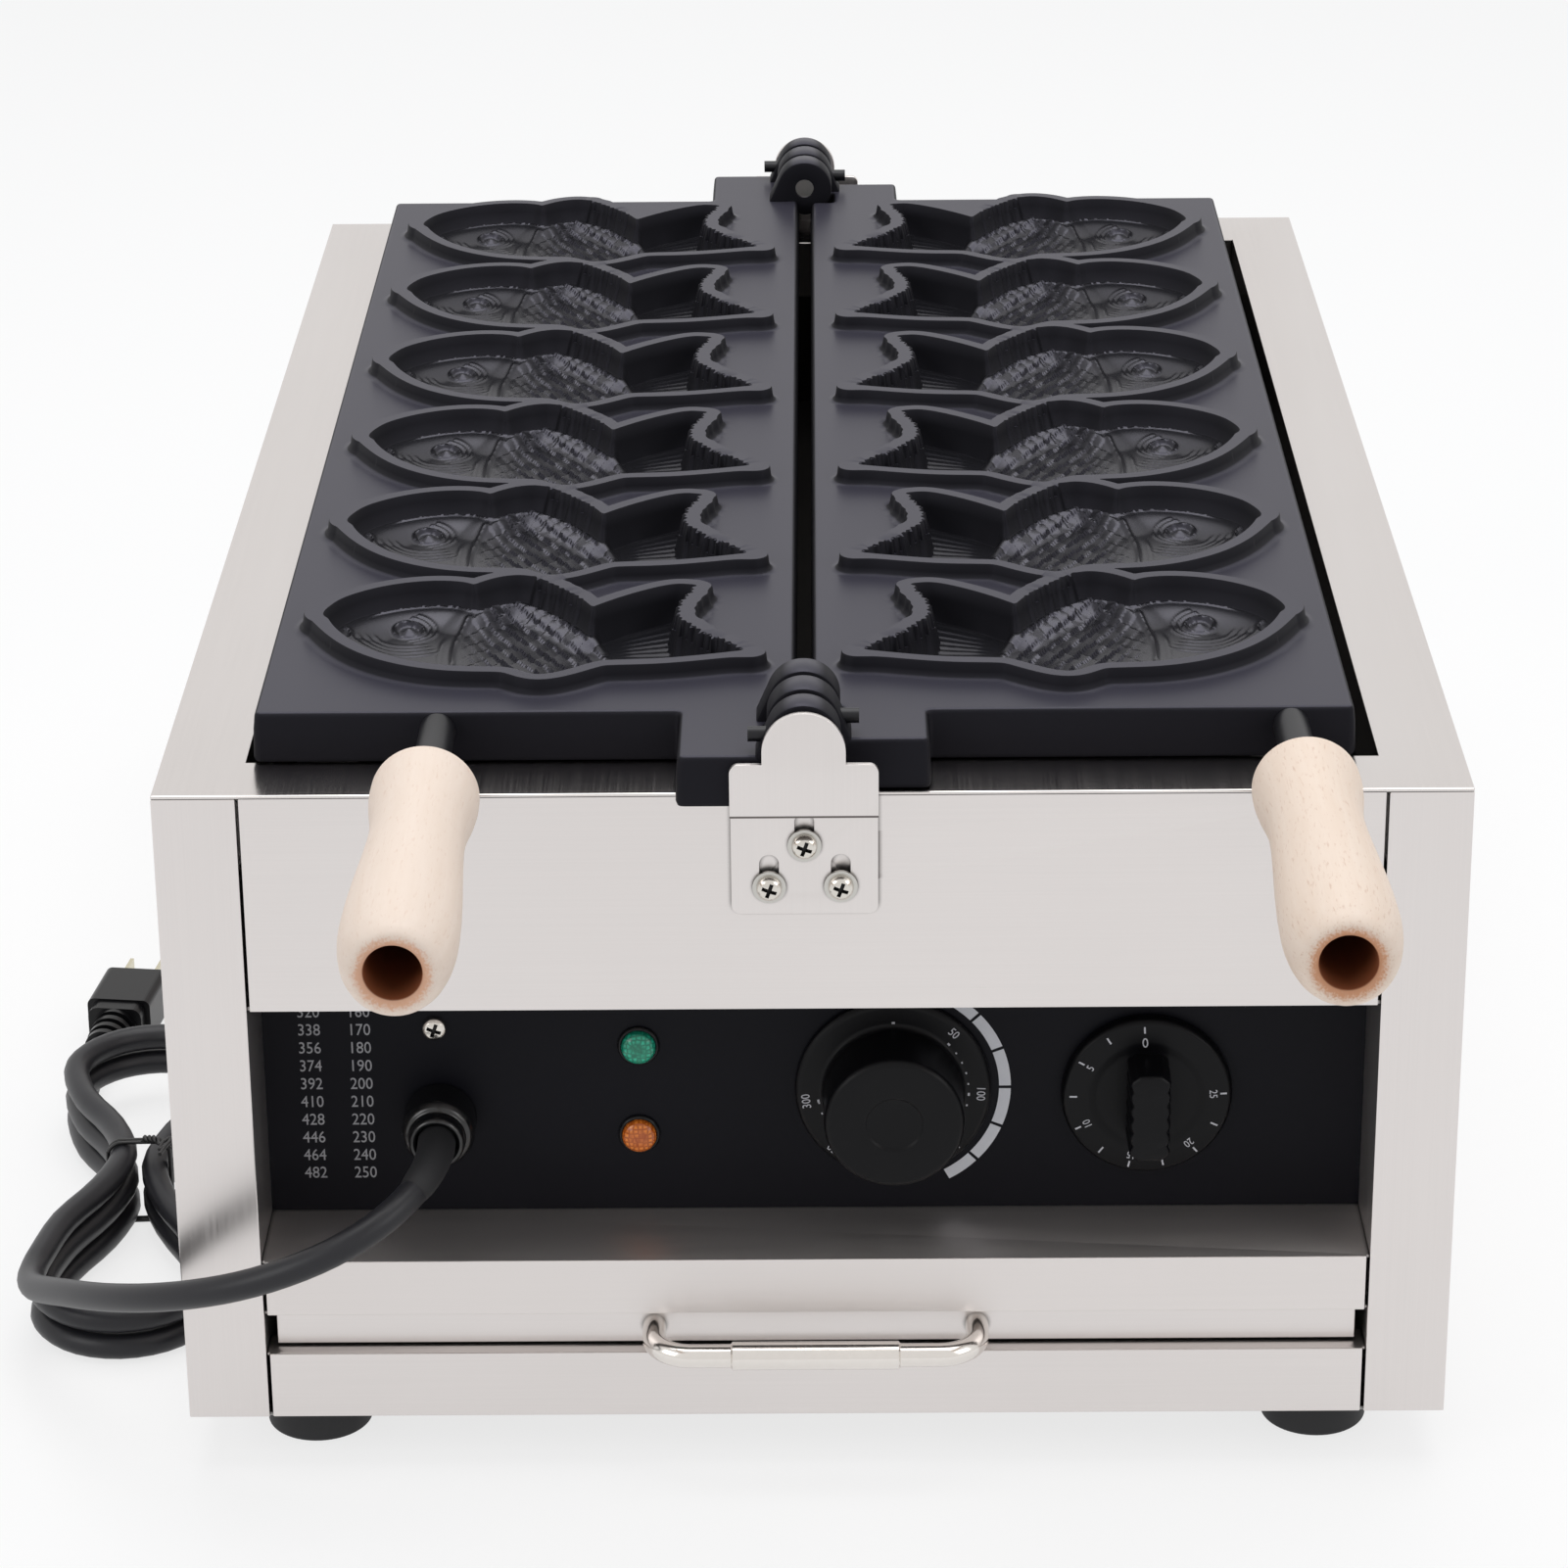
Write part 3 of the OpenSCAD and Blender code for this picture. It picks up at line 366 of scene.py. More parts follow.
def tube(name, points, radii, sides):
    """A closed tube along points, its UV running along and round it in metres."""
    shape = bmesh.new()
    uv = shape.loops.layers.uv.new("run")
    hoops, far, normal = [], [0.0], Vector((0, 0, 1))
    for i, here in enumerate(points):
        way = (points[min(i + 1, len(points) - 1)] - points[max(i - 1, 0)]).normalized()
        normal = (normal - way * normal.dot(way)).normalized()
        other = way.cross(normal)
        if i:
            far.append(far[-1] + (here - points[i - 1]).length)
        hoops.append([shape.verts.new(here + radii[i] * (math.cos(a) * normal
                                                         + math.sin(a) * other))
                      for a in np.linspace(0, 2 * math.pi, sides + 1)[:-1]])
    for i in range(len(points) - 1):
        for k in range(sides):
            n = (k + 1) % sides
            face = shape.faces.new((hoops[i][k], hoops[i][n], hoops[i + 1][n], hoops[i + 1][k]))
            ends = ((k, i), (k + 1, i), (k + 1, i + 1), (k, i + 1))
            for loop, (u, v) in zip(face.loops, ends):
                loop[uv].uv = (far[v], u / sides * 2 * math.pi * radii[i])
    shape.faces.new(list(reversed(hoops[0])))
    shape.faces.new(hoops[-1])
    return solid(shape, name)


bevelled("drip_tray", "tray", across, 0.3, "tray")
polished = speckled("polished stainless rod", "#DAD5D0", "#E6E1DC", 0.16, 3.0, 0.01, Metallic=1.0)
low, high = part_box("tray_pull")
rod_r, held_r, bend = 4 * mm, 4.8 * mm, 13 * mm
half, reach = (high.x - low.x) / 2 - rod_r, low.y + held_r
line = [(-half, high.y)]
line += [(-half + bend - bend * math.cos(t), reach + bend - bend * math.sin(t))
         for t in np.linspace(0, math.pi / 2, 10)]
line += [(x, reach) for x in np.linspace(-half + bend, -28.6 * mm, 3)[1:]] + [(-28 * mm, reach)]
line += [(-x, y) for x, y in reversed(line)]
radii = [held_r if abs(x) < 28.4 * mm and abs(y - reach) < mm else rod_r for x, y in line]
pull = tube("pull", [Vector((x, y, (low.z + high.z) / 2)) for x, y in line], radii, 24)
finish_piece(pull, "bow_pull", polished, "tray", ("tray_pull",), 50)


# ---- Control panel ----------------------------------------------------------------------
# Sheet steel with satin black powder paint, set back in its recess. At the left is a table
# of plain numbers, screen-printed in grey.

panel_paint = speckled("satin black powder coat", "#08080E", "#0C0C13", 0.46, 1.1, 0.015,
                       Specular_IOR_Level=0.12)
dress(panel_paint, "control_panel")
panel_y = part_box("control_panel")[0].y
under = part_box("base_pan")[0].z
grey_ink = speckled("pale grey screen ink", "#8D8D91", "#A2A2A6", 0.6, 0.6, 0.005)


def printed(words, x, z, height, y=panel_y, turn=0.0):
    """Narrow digits, 0.05 mm proud of a face that looks forward, centred on x and z."""
    bpy.ops.object.select_all(action="DESELECT")
    bpy.ops.object.text_add(location=(x, y - 0.05 * mm, z), rotation=(math.pi / 2, turn, 0))
    digits = bpy.context.active_object
    digits.data.body = words
    digits.data.align_x = digits.data.align_y = "CENTER"
    digits.data.size = height * mm / 0.7
    digits.data.resolution_u = 3
    digits.data.extrude = 0.04 * mm
    digits.scale = (0.86, 1, 1)
    bpy.ops.object.convert(target="MESH")
    bpy.ops.object.transform_apply(location=True, rotation=True, scale=True)
    return digits


def joined(pieces):
    """Several pieces as one object."""
    pick(*pieces)
    bpy.ops.object.join()
    return bpy.context.active_object


table = []
row_0, row_step, digit_h = 128.7, 6.8, 4.3
for row in range(-1, 9):
    for x, number in ((-171.7, 338 + 18 * row), (-154.6, 170 + 10 * row)):
        table.append(printed(str(number), x * mm, under + (row_0 - row * row_step) * mm, digit_h))
finish_piece(joined(table), "number_table", grey_ink, "base")


# ---- Signal lamps -----------------------------------------------------------------------
# Two neon lamps: a clear coloured lens, faceted inside, on a black bezel. They are off, so
# the lens is deep in colour and only the facets catch the light.

black_moulding = speckled("black moulded nylon", "#0A0A0C", "#101012", 0.3, 0.9, 0.015,
                          Specular_IOR_Level=0.25)
forward = (0, -1, 0)


def lens(name, dark, light):
    """Clear acrylic over facets 1.6 mm wide."""
    made, tree, shader, place = surface(name, Roughness=0.12, IOR=1.49)
    facets = add(tree, "TexVoronoi", {"Vector": place, "Scale": 620.0, "Randomness": 0.35},
                 feature="DISTANCE_TO_EDGE").outputs["Distance"]
    middle = add(tree, "MapRange", {"Value": facets, "From Max": 0.36})
    colour = add(tree, "Mix", {0: middle, 6: linear(dark), 7: linear(light)}, data_type="RGBA")
    bump = add(tree, "Bump", {"Strength": 0.35, "Distance": 0.12 * mm, "Height": facets})
    feed(shader, {"Base Color": colour, "Normal": bump})
    return made


def seated(node, y):
    """The middle of a node that faces forward, at the depth where it is seated."""
    low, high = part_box(node)
    return (low.x + high.x) / 2, y, (low.z + high.z) / 2


for node, dark, light in (("green_lamp", "#0A6E55", "#2FBE99"),
                          ("orange_lamp", "#A3460C", "#F08C34")):
    centre = seated(node, panel_y)
    cap = turned([(5.9, 0.5), (5.9, 2.2), (5.5, 3.4), (3.6, 4.6), (0.001, 5.1)], 0.6,
                 centre, forward, 48)
    finish_piece(cap, node + "_lens", lens(node.split("_")[0] + " acrylic lens", dark, light),
                 "base")
    bezel = turned([(5.9, -23), (5.9, 0), (7.2, 0), (7.2, 0.8), (6.6, 1.5), (6.05, 1.5),
                    (6.0, -0.1)], 0.25, centre, forward, 48)
    finish_piece(bezel, node + "_bezel", black_moulding, "base", (node,))


# ---- Temperature dial -------------------------------------------------------------------
# Black moulded knob: a wide flat skirt with printed numbers, and a plain round cap with a
# low dished centre. It sits on the thermostat's spindle, beside a printed scale.

knob_black = speckled("matt black ABS", "#060608", "#0A0A0D", 0.36, 0.7, 0.015,
                      Specular_IOR_Level=0.16)
low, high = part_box("temperature_dial")
dial = seated("temperature_dial", high.y)
skirt_r, skirt_h = (high.x - low.x) / 2 / mm, 3.0
cap_r, cap_h, dish_r = 23.75, (high.y - low.y) / mm, 9.2
body = turned([(3.0, 0.2), (skirt_r, 0.2), (skirt_r, 1.6), (skirt_r - 1.6, skirt_h),
               (cap_r + 1.0, skirt_h), (cap_r - 0.2, 5), (cap_r, cap_h - 1.6),
               (cap_r - 1.6, cap_h), (dish_r + 0.7, cap_h), (dish_r, cap_h - 0.9),
               (0.001, cap_h - 1.1)], 1.0, dial, forward, 96)
finish_piece(body, "temperature_knob", knob_black, "temperature_dial", ("temperature_dial",), 40)

skirt_y = dial[1] - skirt_h * mm
white_ink = speckled("white pad-printed ink", "#B4B4BA", "#CACAD0", 0.6, 0.6, 0.005)


def round_at(centre, clockwise, radius):
    """x and z of a place on a circle, clockwise degrees from the top."""
    a = math.radians(clockwise)
    return centre[0] + radius * mm * math.sin(a), centre[2] + radius * mm * math.cos(a)


def round_mark(centre, clockwise, radius, wide, tall, y):
    """A small printed bar on a circle, its long way along the radius."""
    x, z = round_at(centre, clockwise, radius)
    bpy.ops.object.select_all(action="DESELECT")
    bpy.ops.mesh.primitive_cube_add(
        size=1, location=(x, y, z), rotation=(0, math.radians(clockwise), 0),
        scale=(wide * mm, 0.1 * mm, tall * mm))
    bpy.ops.object.transform_apply(location=True, rotation=True, scale=True)
    return bpy.context.active_object


def round_number(words, centre, clockwise, radius, height, y):
    """A number on a circle, its top outwards."""
    x, z = round_at(centre, clockwise, radius)
    return printed(words, x, z, height, y, math.radians(clockwise))


dots_r, dot, small_dot, dot_step, numbers_r = 25.6, 1.1, 0.7, 9.3, 29.8
marks = [round_mark(dial, angle, dots_r, dot, dot, skirt_y) for angle in (0, 47, 93, -98)]
for angle in [47 + dot_step * k for k in range(1, 5)] + [93 + dot_step * k for k in range(1, 19)]:
    marks.append(round_mark(dial, angle, dots_r, small_dot, small_dot, skirt_y))
for number, angle in (("50", 43.5), ("100", 92), ("150", 137), ("200", 180), ("250", -138),
                      ("300", -97)):
    marks.append(round_number(number, dial, angle, numbers_r, 3.0, skirt_y))
finish_piece(joined(marks), "temperature_numbers", white_ink, "temperature_dial")

# The scale beside the dial: six printed blocks, bent round it.
blocks = []
block_ends = (25, 47, 68.5, 90.3, 112.2, 133.9, 152)
block_gap, inner_r, outer_r = 0.8, 36.2, 40.2
for start, stop in zip(block_ends, block_ends[1:]):
    strip = bmesh.new()
    far, near = [[strip.verts.new((x, panel_y - 0.06 * mm, z)) for x, z in (
        round_at(dial, t, r) for t in np.linspace(start + block_gap, stop - block_gap, 9))]
        for r in (outer_r, inner_r)]
    for corners in zip(far, far[1:], near[1:], near):
        strip.faces.new(corners)
    block = solid(strip, "block")
    if block.data.polygons[0].normal.y > 0:
        block.data.flip_normals()
    blocks.append(block)
scale_ink = speckled("light grey screen ink", "#C2C3C9", "#D0D1D6", 0.6, 0.6, 0.005)
finish_piece(joined(blocks), "dial_scale", scale_ink, "base")


# ---- Timer knob -------------------------------------------------------------------------
# Black moulded knob: a dished disc with printed minutes and one upright grip, ribbed on its
# long sides for the fingers. It turns the clockwork timer behind the panel.

def ring_walls(shape, loops):
    """Walls between closed loops of equal length, each a list of vertices."""
    for one, two in zip(loops, loops[1:]):
        for k in range(len(one)):
            m = (k + 1) % len(one)
            shape.faces.new((one[k], one[m], two[m], two[k]))


low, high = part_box("timer_knob")
timer = seated("timer_knob", high.y)
disc_r = (high.x - low.x) / 2 / mm
disc = turned([(3.0, 0.2), (disc_r, 0.2), (disc_r - 0.2, 3.2), (disc_r - 1.4, 4.7),
               (disc_r - 9, 4.9), (disc_r - 12, 4.2), (0.001, 4.2)], 0.8, timer, forward, 96)
half_wide, half_tall, grip_h = 7.1, 16.3, (high.y - low.y) / mm
rib_deep, rib_pitch, end_tall, end_in = 0.75, 5.2, 3.2, 2.6
outline = []
for z in np.linspace(-half_tall, half_tall, 61):
    edge = half_wide - rib_deep * (0.5 + 0.5 * math.cos(2 * math.pi * z / rib_pitch)) ** 2
    end = max(0.0, abs(z) - (half_tall - end_tall)) / end_tall
    outline.append((edge - end_in * end ** 2.2, z))
outline += [(-x, z) for x, z in reversed(outline)]
shape = bmesh.new()
layers = [[shape.verts.new((timer[0] + x * mm * part, timer[1] - depth * mm,
                            timer[2] + z * mm * (1 - (1 - part) * 0.5))) for x, z in outline]
          for depth, part in ((3.8, 1.0), (grip_h - 1.6, 0.97), (grip_h - 0.5, 0.93),
                              (grip_h, 0.85))]
ring_walls(shape, layers)
shape.faces.new(layers[-1])
shape.faces.new(list(reversed(layers[0])))
finish_piece(joined([disc, solid(shape, "finger_bar")]), "timer_disc", knob_black, "timer_knob",
             ("timer_knob",), 40)

disc_y = timer[1] - 4.95 * mm
marks = [round_number("0", timer, -3, 20.5, 3.6, disc_y),
         round_mark(timer, -3, 25.4, 0.6, 2.4, disc_y)]
for angle in (-32, -89, -142, 114, 167):
    marks.append(round_mark(timer, angle, 25.2, 0.6, 2.6, disc_y))
for number, angle in (("5", -60), ("10", -116), ("15", -167), ("20", 140), ("25", 87)):
    marks.append(round_mark(timer, angle, 26.0, 0.6, 2.2, disc_y))
    marks.append(round_number(number, timer, angle, 22.4, 2.7, disc_y))
finish_piece(joined(marks), "timer_numbers", white_ink, "timer_knob")

switch_case = speckled("plated switch case", "#AFAEA8", "#C4C3BD", 0.34, 2.0, 0.02, Metallic=1.0)
copper = speckled("drawn copper", "#A86A45", "#C08056", 0.32, 2.0, 0.02, Metallic=1.0)
ceramic = speckled("glazed steatite", "#D8D2C2", "#E6E1D3", 0.3, 2.5, 0.04)
dress(switch_case, "thermostat_body", "timer_body")
dress(copper, "capillary_sensor")
dress(ceramic, "terminal_block")


# ---- Cord -------------------------------------------------------------------------------
# Round mains cord, 10 mm, in a dark grey rubbery jacket. It leaves the gland downwards and
# to the left, crosses in front of the body, and lies beside it in a tied hank.

gland = turned([(0.001, -12), (7.8, -12), (7.8, 0), (12.5, 0), (12.5, 13.6), (11.0, 15.9),
                (9.6, 16.5), (9.5, 20.6), (8.4, 21.9), (7.2, 21.4), (6.6, 18.2), (0.001, 18.0)],
               0.9, seated("cord_gland", panel_y), forward, 64)
gloss_moulding = speckled("glossy black nylon", "#0A0A0C", "#101012", 0.2, 1.5, 0.01,
                          Specular_IOR_Level=0.6)
finish_piece(gland, "gland", gloss_moulding, "base", ("cord_gland",), 40)

# The route is part.scad's, in millimetres: y from the apron's face and z from the table.
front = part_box("front_apron")[0].y
lead = [(-128, 20, 116), (-128, 9, 116), (-130.5, -3.6, 114.5), (-136.5, -15.9, 111.3),
        (-146.3, -25.8, 106.7), (-159.6, -31.8, 100.8), (-175.2, -33.2, 94.3),
        (-191.8, -29.8, 87.3), (-208.1, -21.9, 80.1), (-223.6, -10.2, 72.4),
        (-237.7, 4.5, 64.3), (-250.3, 21.2, 55.9), (-261.1, 38.7, 47.5), (-270.5, 56, 39),
        (-277.9, 71.5, 31.8), (-281.6, 84.2, 27.9), (-282.1, 94.6, 26.6)]
run_l, fold_r, layer_step, bottom_z, pinch, tie_lift = 150, 30, 10.7, 5.3, 24.4, 1.4
hank_x, hank_y, hank_turn, loops = -255, 181, math.radians(3), 2


def drawn_in(a):
    """How much the tie pulls a run in: 1 at the waist, 0 at the folds."""
    return (1 + math.cos(2 * math.pi * a / run_l)) / 2


def layer_z(layer, a):
    return bottom_z + layer * layer_step + tie_lift * drawn_in(a)


def laid(x, y, z):
    """A point of the hank, turned to the way it lies on the table."""
    return (hank_x + x * math.cos(hank_turn) - y * math.sin(hank_turn),
            hank_y + x * math.sin(hank_turn) + y * math.cos(hank_turn), z)


def in_metres(points):
    return [Vector((x, front / mm + y, z)) * mm for x, y, z in points]


# Each lap has 24 points: a run at the left, the fold behind, a run back that goes one layer
# down, and the fold in front.
hank = []
for i in range(loops * 24 + 7):
    lap, part, share = i // 24, i % 24 // 6, i % 6 / 6
    layer, side = loops - lap, -1 if part < 2 else 1
    if part in (0, 2):
        a = side * (0.5 - share) * run_l
        hank.append(laid(side * (fold_r - pinch * drawn_in(a)), a,
                         layer_z(layer - share * (part == 2), a)))
    else:
        turn = math.pi * share
        hank.append(laid(side * fold_r * math.cos(turn),
                         -side * (run_l / 2 + fold_r * math.sin(turn)),
                         layer_z(layer - (part == 3), run_l / 2)))
tail = [(-289.7, 269, 5.3), (-289.6, 281, 6.4), (-288.8, 292, 9.2), (-288.2, 297, 10),
        (-287, 307, 10)]
route = in_metres(lead + hank + tail)


def smooth_route(points, parts):
    """More points on a smooth curve through the given ones."""
    out = []
    for i in range(len(points) - 1):
        a = points[max(i - 1, 0)]
        b, c = points[i], points[i + 1]
        d = points[min(i + 2, len(points) - 1)]
        for k in range(parts):
            t = k / parts
            out.append(0.5 * (2 * b + (c - a) * t + (2 * a - 5 * b + 4 * c - d) * t * t
                              + (3 * b - a - 3 * c + d) * t ** 3))
    return out + [points[-1]]


jacket = speckled("dark grey PVC cord jacket", "#1B1B1F", "#252529", 0.4, 0.9, 0.03,
                  Specular_IOR_Level=0.35)
centreline = smooth_route(route, 3)
cord = tube("mains_cord", centreline, [4.95 * mm] * len(centreline), 20)
finish_piece(cord, "mains_cord", jacket, "base", ("cord_lead", "cord_hank"), 60)

# Strain relief: a soft sleeve that tapers from the gland's mouth along the cord, 36 mm long.
thick_r, plain_l, sleeve_l = 6.5 * mm, 6 * mm, 36 * mm
sleeve_line, sleeve_r, run = [centreline[0]], [thick_r], 0.0
for before, here in zip(centreline, centreline[1:]):
    run += (here - before).length
    if run < sleeve_l:
        sleeve_line.append(here)
        sleeve_r.append(thick_r - 1.2 * mm * max(0.0, run - plain_l) / (sleeve_l - plain_l))
sleeve_r[-1] = 5.0 * mm
finish_piece(tube("sleeve", sleeve_line, sleeve_r, 24), "strain_relief_sleeve", foot_rubber,
             "base", (), 60)

# Tie: a thin black wire wound twice round the waist of the hank, its ends twisted together
# on top. It stands for the flat tie of the solid model.
tie_black = speckled("black tie wire", "#0D0D0E", "#161617", 0.45, 0.6, 0.02)
half_w = fold_r - pinch + 6.0
low_z, high_z = bottom_z + tie_lift - 5.7, bottom_z + loops * layer_step + tie_lift + 5.8
corner = 5.6
turn_round = []
for x, z, first in ((half_w - corner, high_z - corner, 90), (half_w - corner, low_z + corner, 0),
                    (corner - half_w, low_z + corner, -90),
                    (corner - half_w, high_z - corner, -180)):
    for a in np.radians(np.linspace(first, first - 90, 7)):
        turn_round.append((x + corner * math.cos(a), z + corner * math.sin(a)))
wires = []
for shift in (-1.3, 0.9):
    loop_points = [laid(x, shift + 0.5 * math.sin(k / 4), z)
                   for k, (x, z) in enumerate(turn_round)]
    wires.append(loop_points + loop_points[:1])
steps, spread_from, turn_step, twist_r, spread = 26, 16, 0.75, 0.85, 0.75
for first in (math.pi, 0):
    twist = []
    for k in range(steps):
        a, r = k * turn_step + first, twist_r + max(0, k - spread_from) * spread
        twist.append(laid(2 + k * 0.42 + r * math.cos(a) * 0.4, -0.4 - 0.35 * k + r * math.cos(a),
                          high_z + 1.0 + min(k, 10) * 0.16
                          + r * math.sin(a) * (k <= spread_from)))
    wires.append(twist)
wires = [smooth_route(in_metres(wire), 2) for wire in wires]
wires = [tube("wire", points, [0.72 * mm] * len(points), 8) for points in wires]
finish_piece(joined(wires), "cord_wire_tie", tie_black, "base", ("cord_tie",), 60)

# Plug: a moulded body with a ribbed strain relief, two flat blades and a round earth pin.
dress(black_moulding, "plug_body")
blade = speckled("nickel-plated brass", "#C9C2A8", "#DAD4BE", 0.25, 1.5, 0.01, Metallic=1.0)
dress(blade, "plug_pins")


# ---- Hinge brackets and screws ----------------------------------------------------------
# Pressed stainless brackets, stepped over the apron's top edge, each held by three
# nickel-plated pan-head screws with cross recesses, with washers under them.

pressed = brushed_sheet("stainless pressed bracket", "z")
tree = pressed.node_tree
bare = tree.nodes["Principled BSDF"].inputs["Base Color"].links[0].from_socket
height = add(tree, "SeparateXYZ", {0: add(tree, "TexCoord").outputs["Object"]})
# Painted shadow: a dark grey band, 0.76 mm tall, across each bracket at the step's lower edge,
# where the step casts a thin shadow line.
shadow_band_z, shadow_band_half = under + 229.75 * mm, 0.38 * mm
shadow_band = add(tree, "Math", {0: height.outputs[2], 1: shadow_band_z, 2: shadow_band_half},
             operation="COMPARE")
shadow_lined = add(tree, "Mix", {0: shadow_band, 6: bare, 7: linear("#6A6462")}, data_type="RGBA")
feed(tree.nodes["Principled BSDF"], {"Base Color": shadow_lined})
bevelled("front_hinge_bracket", "front_bracket", pressed, 0.45, segments=3)
bevelled("rear_hinge_bracket", "rear_bracket", pressed, 0.45, segments=3)
nickel = speckled("bright nickel plate", "#CFCAC2", "#DEDAD3", 0.2, 1.2, 0.012, Metallic=1.0)
recess_shade = speckled("painted shade in a screw recess", "#0C0B0A", "#191715", 0.6, 0.8, 0.01)
dress(zinc, "bracket_washers")


def cross_head(centre, facing, r, height):
    """A domed screw head with a cross recess, standing on centre and facing out."""
    head = turned([(0.001, -1), (r * 0.6, -1), (r * 0.6, 0), (r, 0), (r, height * 0.35),
                   (r * 0.93, height * 0.62), (r * 0.72, height * 0.86),
                   (r * 0.4, height * 0.97), (0.001, height)], 0.3, centre, (0, facing, 0), 48)
    cutters = []
    for a in (0.35, 0.35 + math.pi / 2):
        bpy.ops.mesh.primitive_cube_add(
            size=1, location=(centre[0], centre[1] + facing * height * mm, centre[2]),
            rotation=(0, a, 0), scale=(r * 1.2 * mm, height * 1.35 * mm, r * 0.3 * mm))
        cutters.append(bpy.context.active_object)
    for cutter in cutters:
        cut = head.modifiers.new("recess", "BOOLEAN")
        cut.operation, cut.object, cut.solver = "DIFFERENCE", cutter, "EXACT"
        bpy.context.view_layer.objects.active = head
        bpy.ops.object.modifier_apply(modifier=cut.name)
        bpy.data.objects.remove(cutter)
    return head


def screw_heads(screws, name, node):
    """Screw heads as one piece, their cross recesses painted near black as painted shade."""
    piece = joined([cross_head(*screw) for screw in screws])
    finish_piece(piece, name, nickel, "base", (node,), 28)
    # Painted shade: the faces inside each cross recess take a near-black material.
    piece.data.materials.append(recess_shade)
    for face in piece.data.polygons:
        for (x, y, z), facing, r, height in screws:
            away = math.hypot(face.center.x - x, face.center.z - z) / mm
            rise = (face.center.y - y) * facing / mm
            wall = abs(face.normal.y) < 0.3
            if away < r * 0.66 and 0.1 * height < rise < 1.01 * height and (
                    rise < 0.6 * height or wall):
                face.material_index = 1


hinge_x = seated("front_hinge_pin", 0)[0]
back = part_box("rear_panel")[1].y
screw_heads([((hinge_x + x * mm, y, under + (231.6 + z) * mm), facing, 4.2, 3.2)
             for y, facing in ((front - 3.1 * mm, -1), (back + 3.1 * mm, 1))
             for x, z in ((0, -17.6), (-11.6, -32.4), (11.8, -32.2))],
            "bracket_screw_heads", "bracket_screws")
low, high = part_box("panel_screw")
screw_heads([(seated("panel_screw", panel_y), -1, (high.x - low.x) / 2 / mm,
              (panel_y - low.y) / mm)], "panel_screw_head", "panel_screw")


# ---- Mould plates -----------------------------------------------------------------------
# Two cast plates with a black non-stick coat. Each has six fish-shaped moulds inside raised
# rims, lugs at both ends, and knuckles that share the hinge pins. The tops are meshed from
# the distance to the fish outline, so that rims run together where the fish nearly touch.

# In millimetres: u is the way out from the hinge line, y runs from the apron's face.
plate_z, plate_low = 269.1, 251.9
fish_u, first_y, pitch, count = 92.0, 95.0, 94.4, 6
inner_u, outer_u, plate_y0, body_d = 3.3, 180.8, 27.7, 657.7
belly = [(-71.8, -26.5), (-56.3, -31), (-41.3, -34), (-25.3, -34.5), (-21.3, -36.5),
         (-15.3, -41.5), (-9.3, -45.8), (-4.3, -47.5), (-0.3, -46), (4.7, -41.5), (8.7, -40),
         (16.7, -39.7), (24.7, -39), (32.7, -37), (40.7, -33.5), (48.7, -28.2), (55.7, -21.5),
         (61.7, -13.5), (66.7, -4.5), (69.8, 3.6), (70.2, 5.6), (72.4, 8.6), (72.6, 12),
         (71.2, 17), (67.7, 25), (60.7, 32), (52.7, 37.3), (43.7, 40.7), (34.7, 41.8),
         (26.7, 40.3), (22.7, 37.3), (18.7, 41.5), (13.7, 45.3), (7.7, 47), (2.7, 45.3)]
shoulder = [(2.7, 45.3), (-2.3, 40.3), (-7.3, 34), (-12.3, 27.5), (-16.3, 21)]
neck = [(-16.3, 21), (-19.3, 14.5), (-25.3, 21), (-33.3, 28.3), (-42.3, 34.8), (-48.3, 37.3),
        (-53.8, 36)]
fork = [(-53.8, 36), (-52.8, 29.5), (-49.8, 21), (-48.6, 12), (-49.3, 3.5), (-54.3, -4),
        (-58.3, -11), (-64.8, -17), (-71.8, -26.5)]


def flowing(points, sharp):
    """A smooth line along the points, through the one that stays sharp."""
    points = [Vector(p) for p in points]
    out = [points[0]]
    for i, (before, here, after) in enumerate(zip(points, points[1:], points[2:]), 1):
        start, stop = (before + here) / 2, (here + after) / 2
        out += [start, here] if i == sharp else curve(start, here, stop, 4)[:-1]
    return [tuple(p) for p in out + [stop, points[-1]]]


def sawn(points, step, depth):
    """The line with steps cut into it, as the mould maker left them."""
    points = np.array(points)
    far = np.concatenate([[0], np.cumsum(np.hypot(*np.diff(points, axis=0).T))])
    teeth = round(far[-1] / step)
    out = [tuple(points[0])]
    for k in range(teeth):
        for part, aside in ((0.12, 0.5), (0.5, -0.55), (0.62, 0.35), (0.97, -0.2)):
            s = (k + part) / teeth * far[-1]
            before, here, after = [[np.interp(run, far, points[:, axis]) for axis in (0, 1)]
                                   for run in (s - 0.5, s, s + 0.5)]
            way = after[0] - before[0], after[1] - before[1]
            size = math.hypot(*way)
            out.append((here[0] + depth * aside * way[1] / size,
                        here[1] - depth * aside * way[0] / size))
    return out + [tuple(points[-1])]


outline = np.array(flowing(belly, 30)[:-1] + sawn(shoulder, 6.0, 1.7)[:-1]
                   + flowing(neck, 1)[:-1] + sawn(fork, 6.4, 2.5)[:-1])


def inside(x, y, corners):
    """Which points lie inside a closed outline."""
    found = np.zeros(x.shape, bool)
    for (ax, ay), (bx, by) in zip(corners, np.roll(corners, -1, axis=0)):
        if ay != by:
            found ^= ((ay > y) != (by > y)) & (x < ax + (bx - ax) * (y - ay) / (by - ay))
    return found


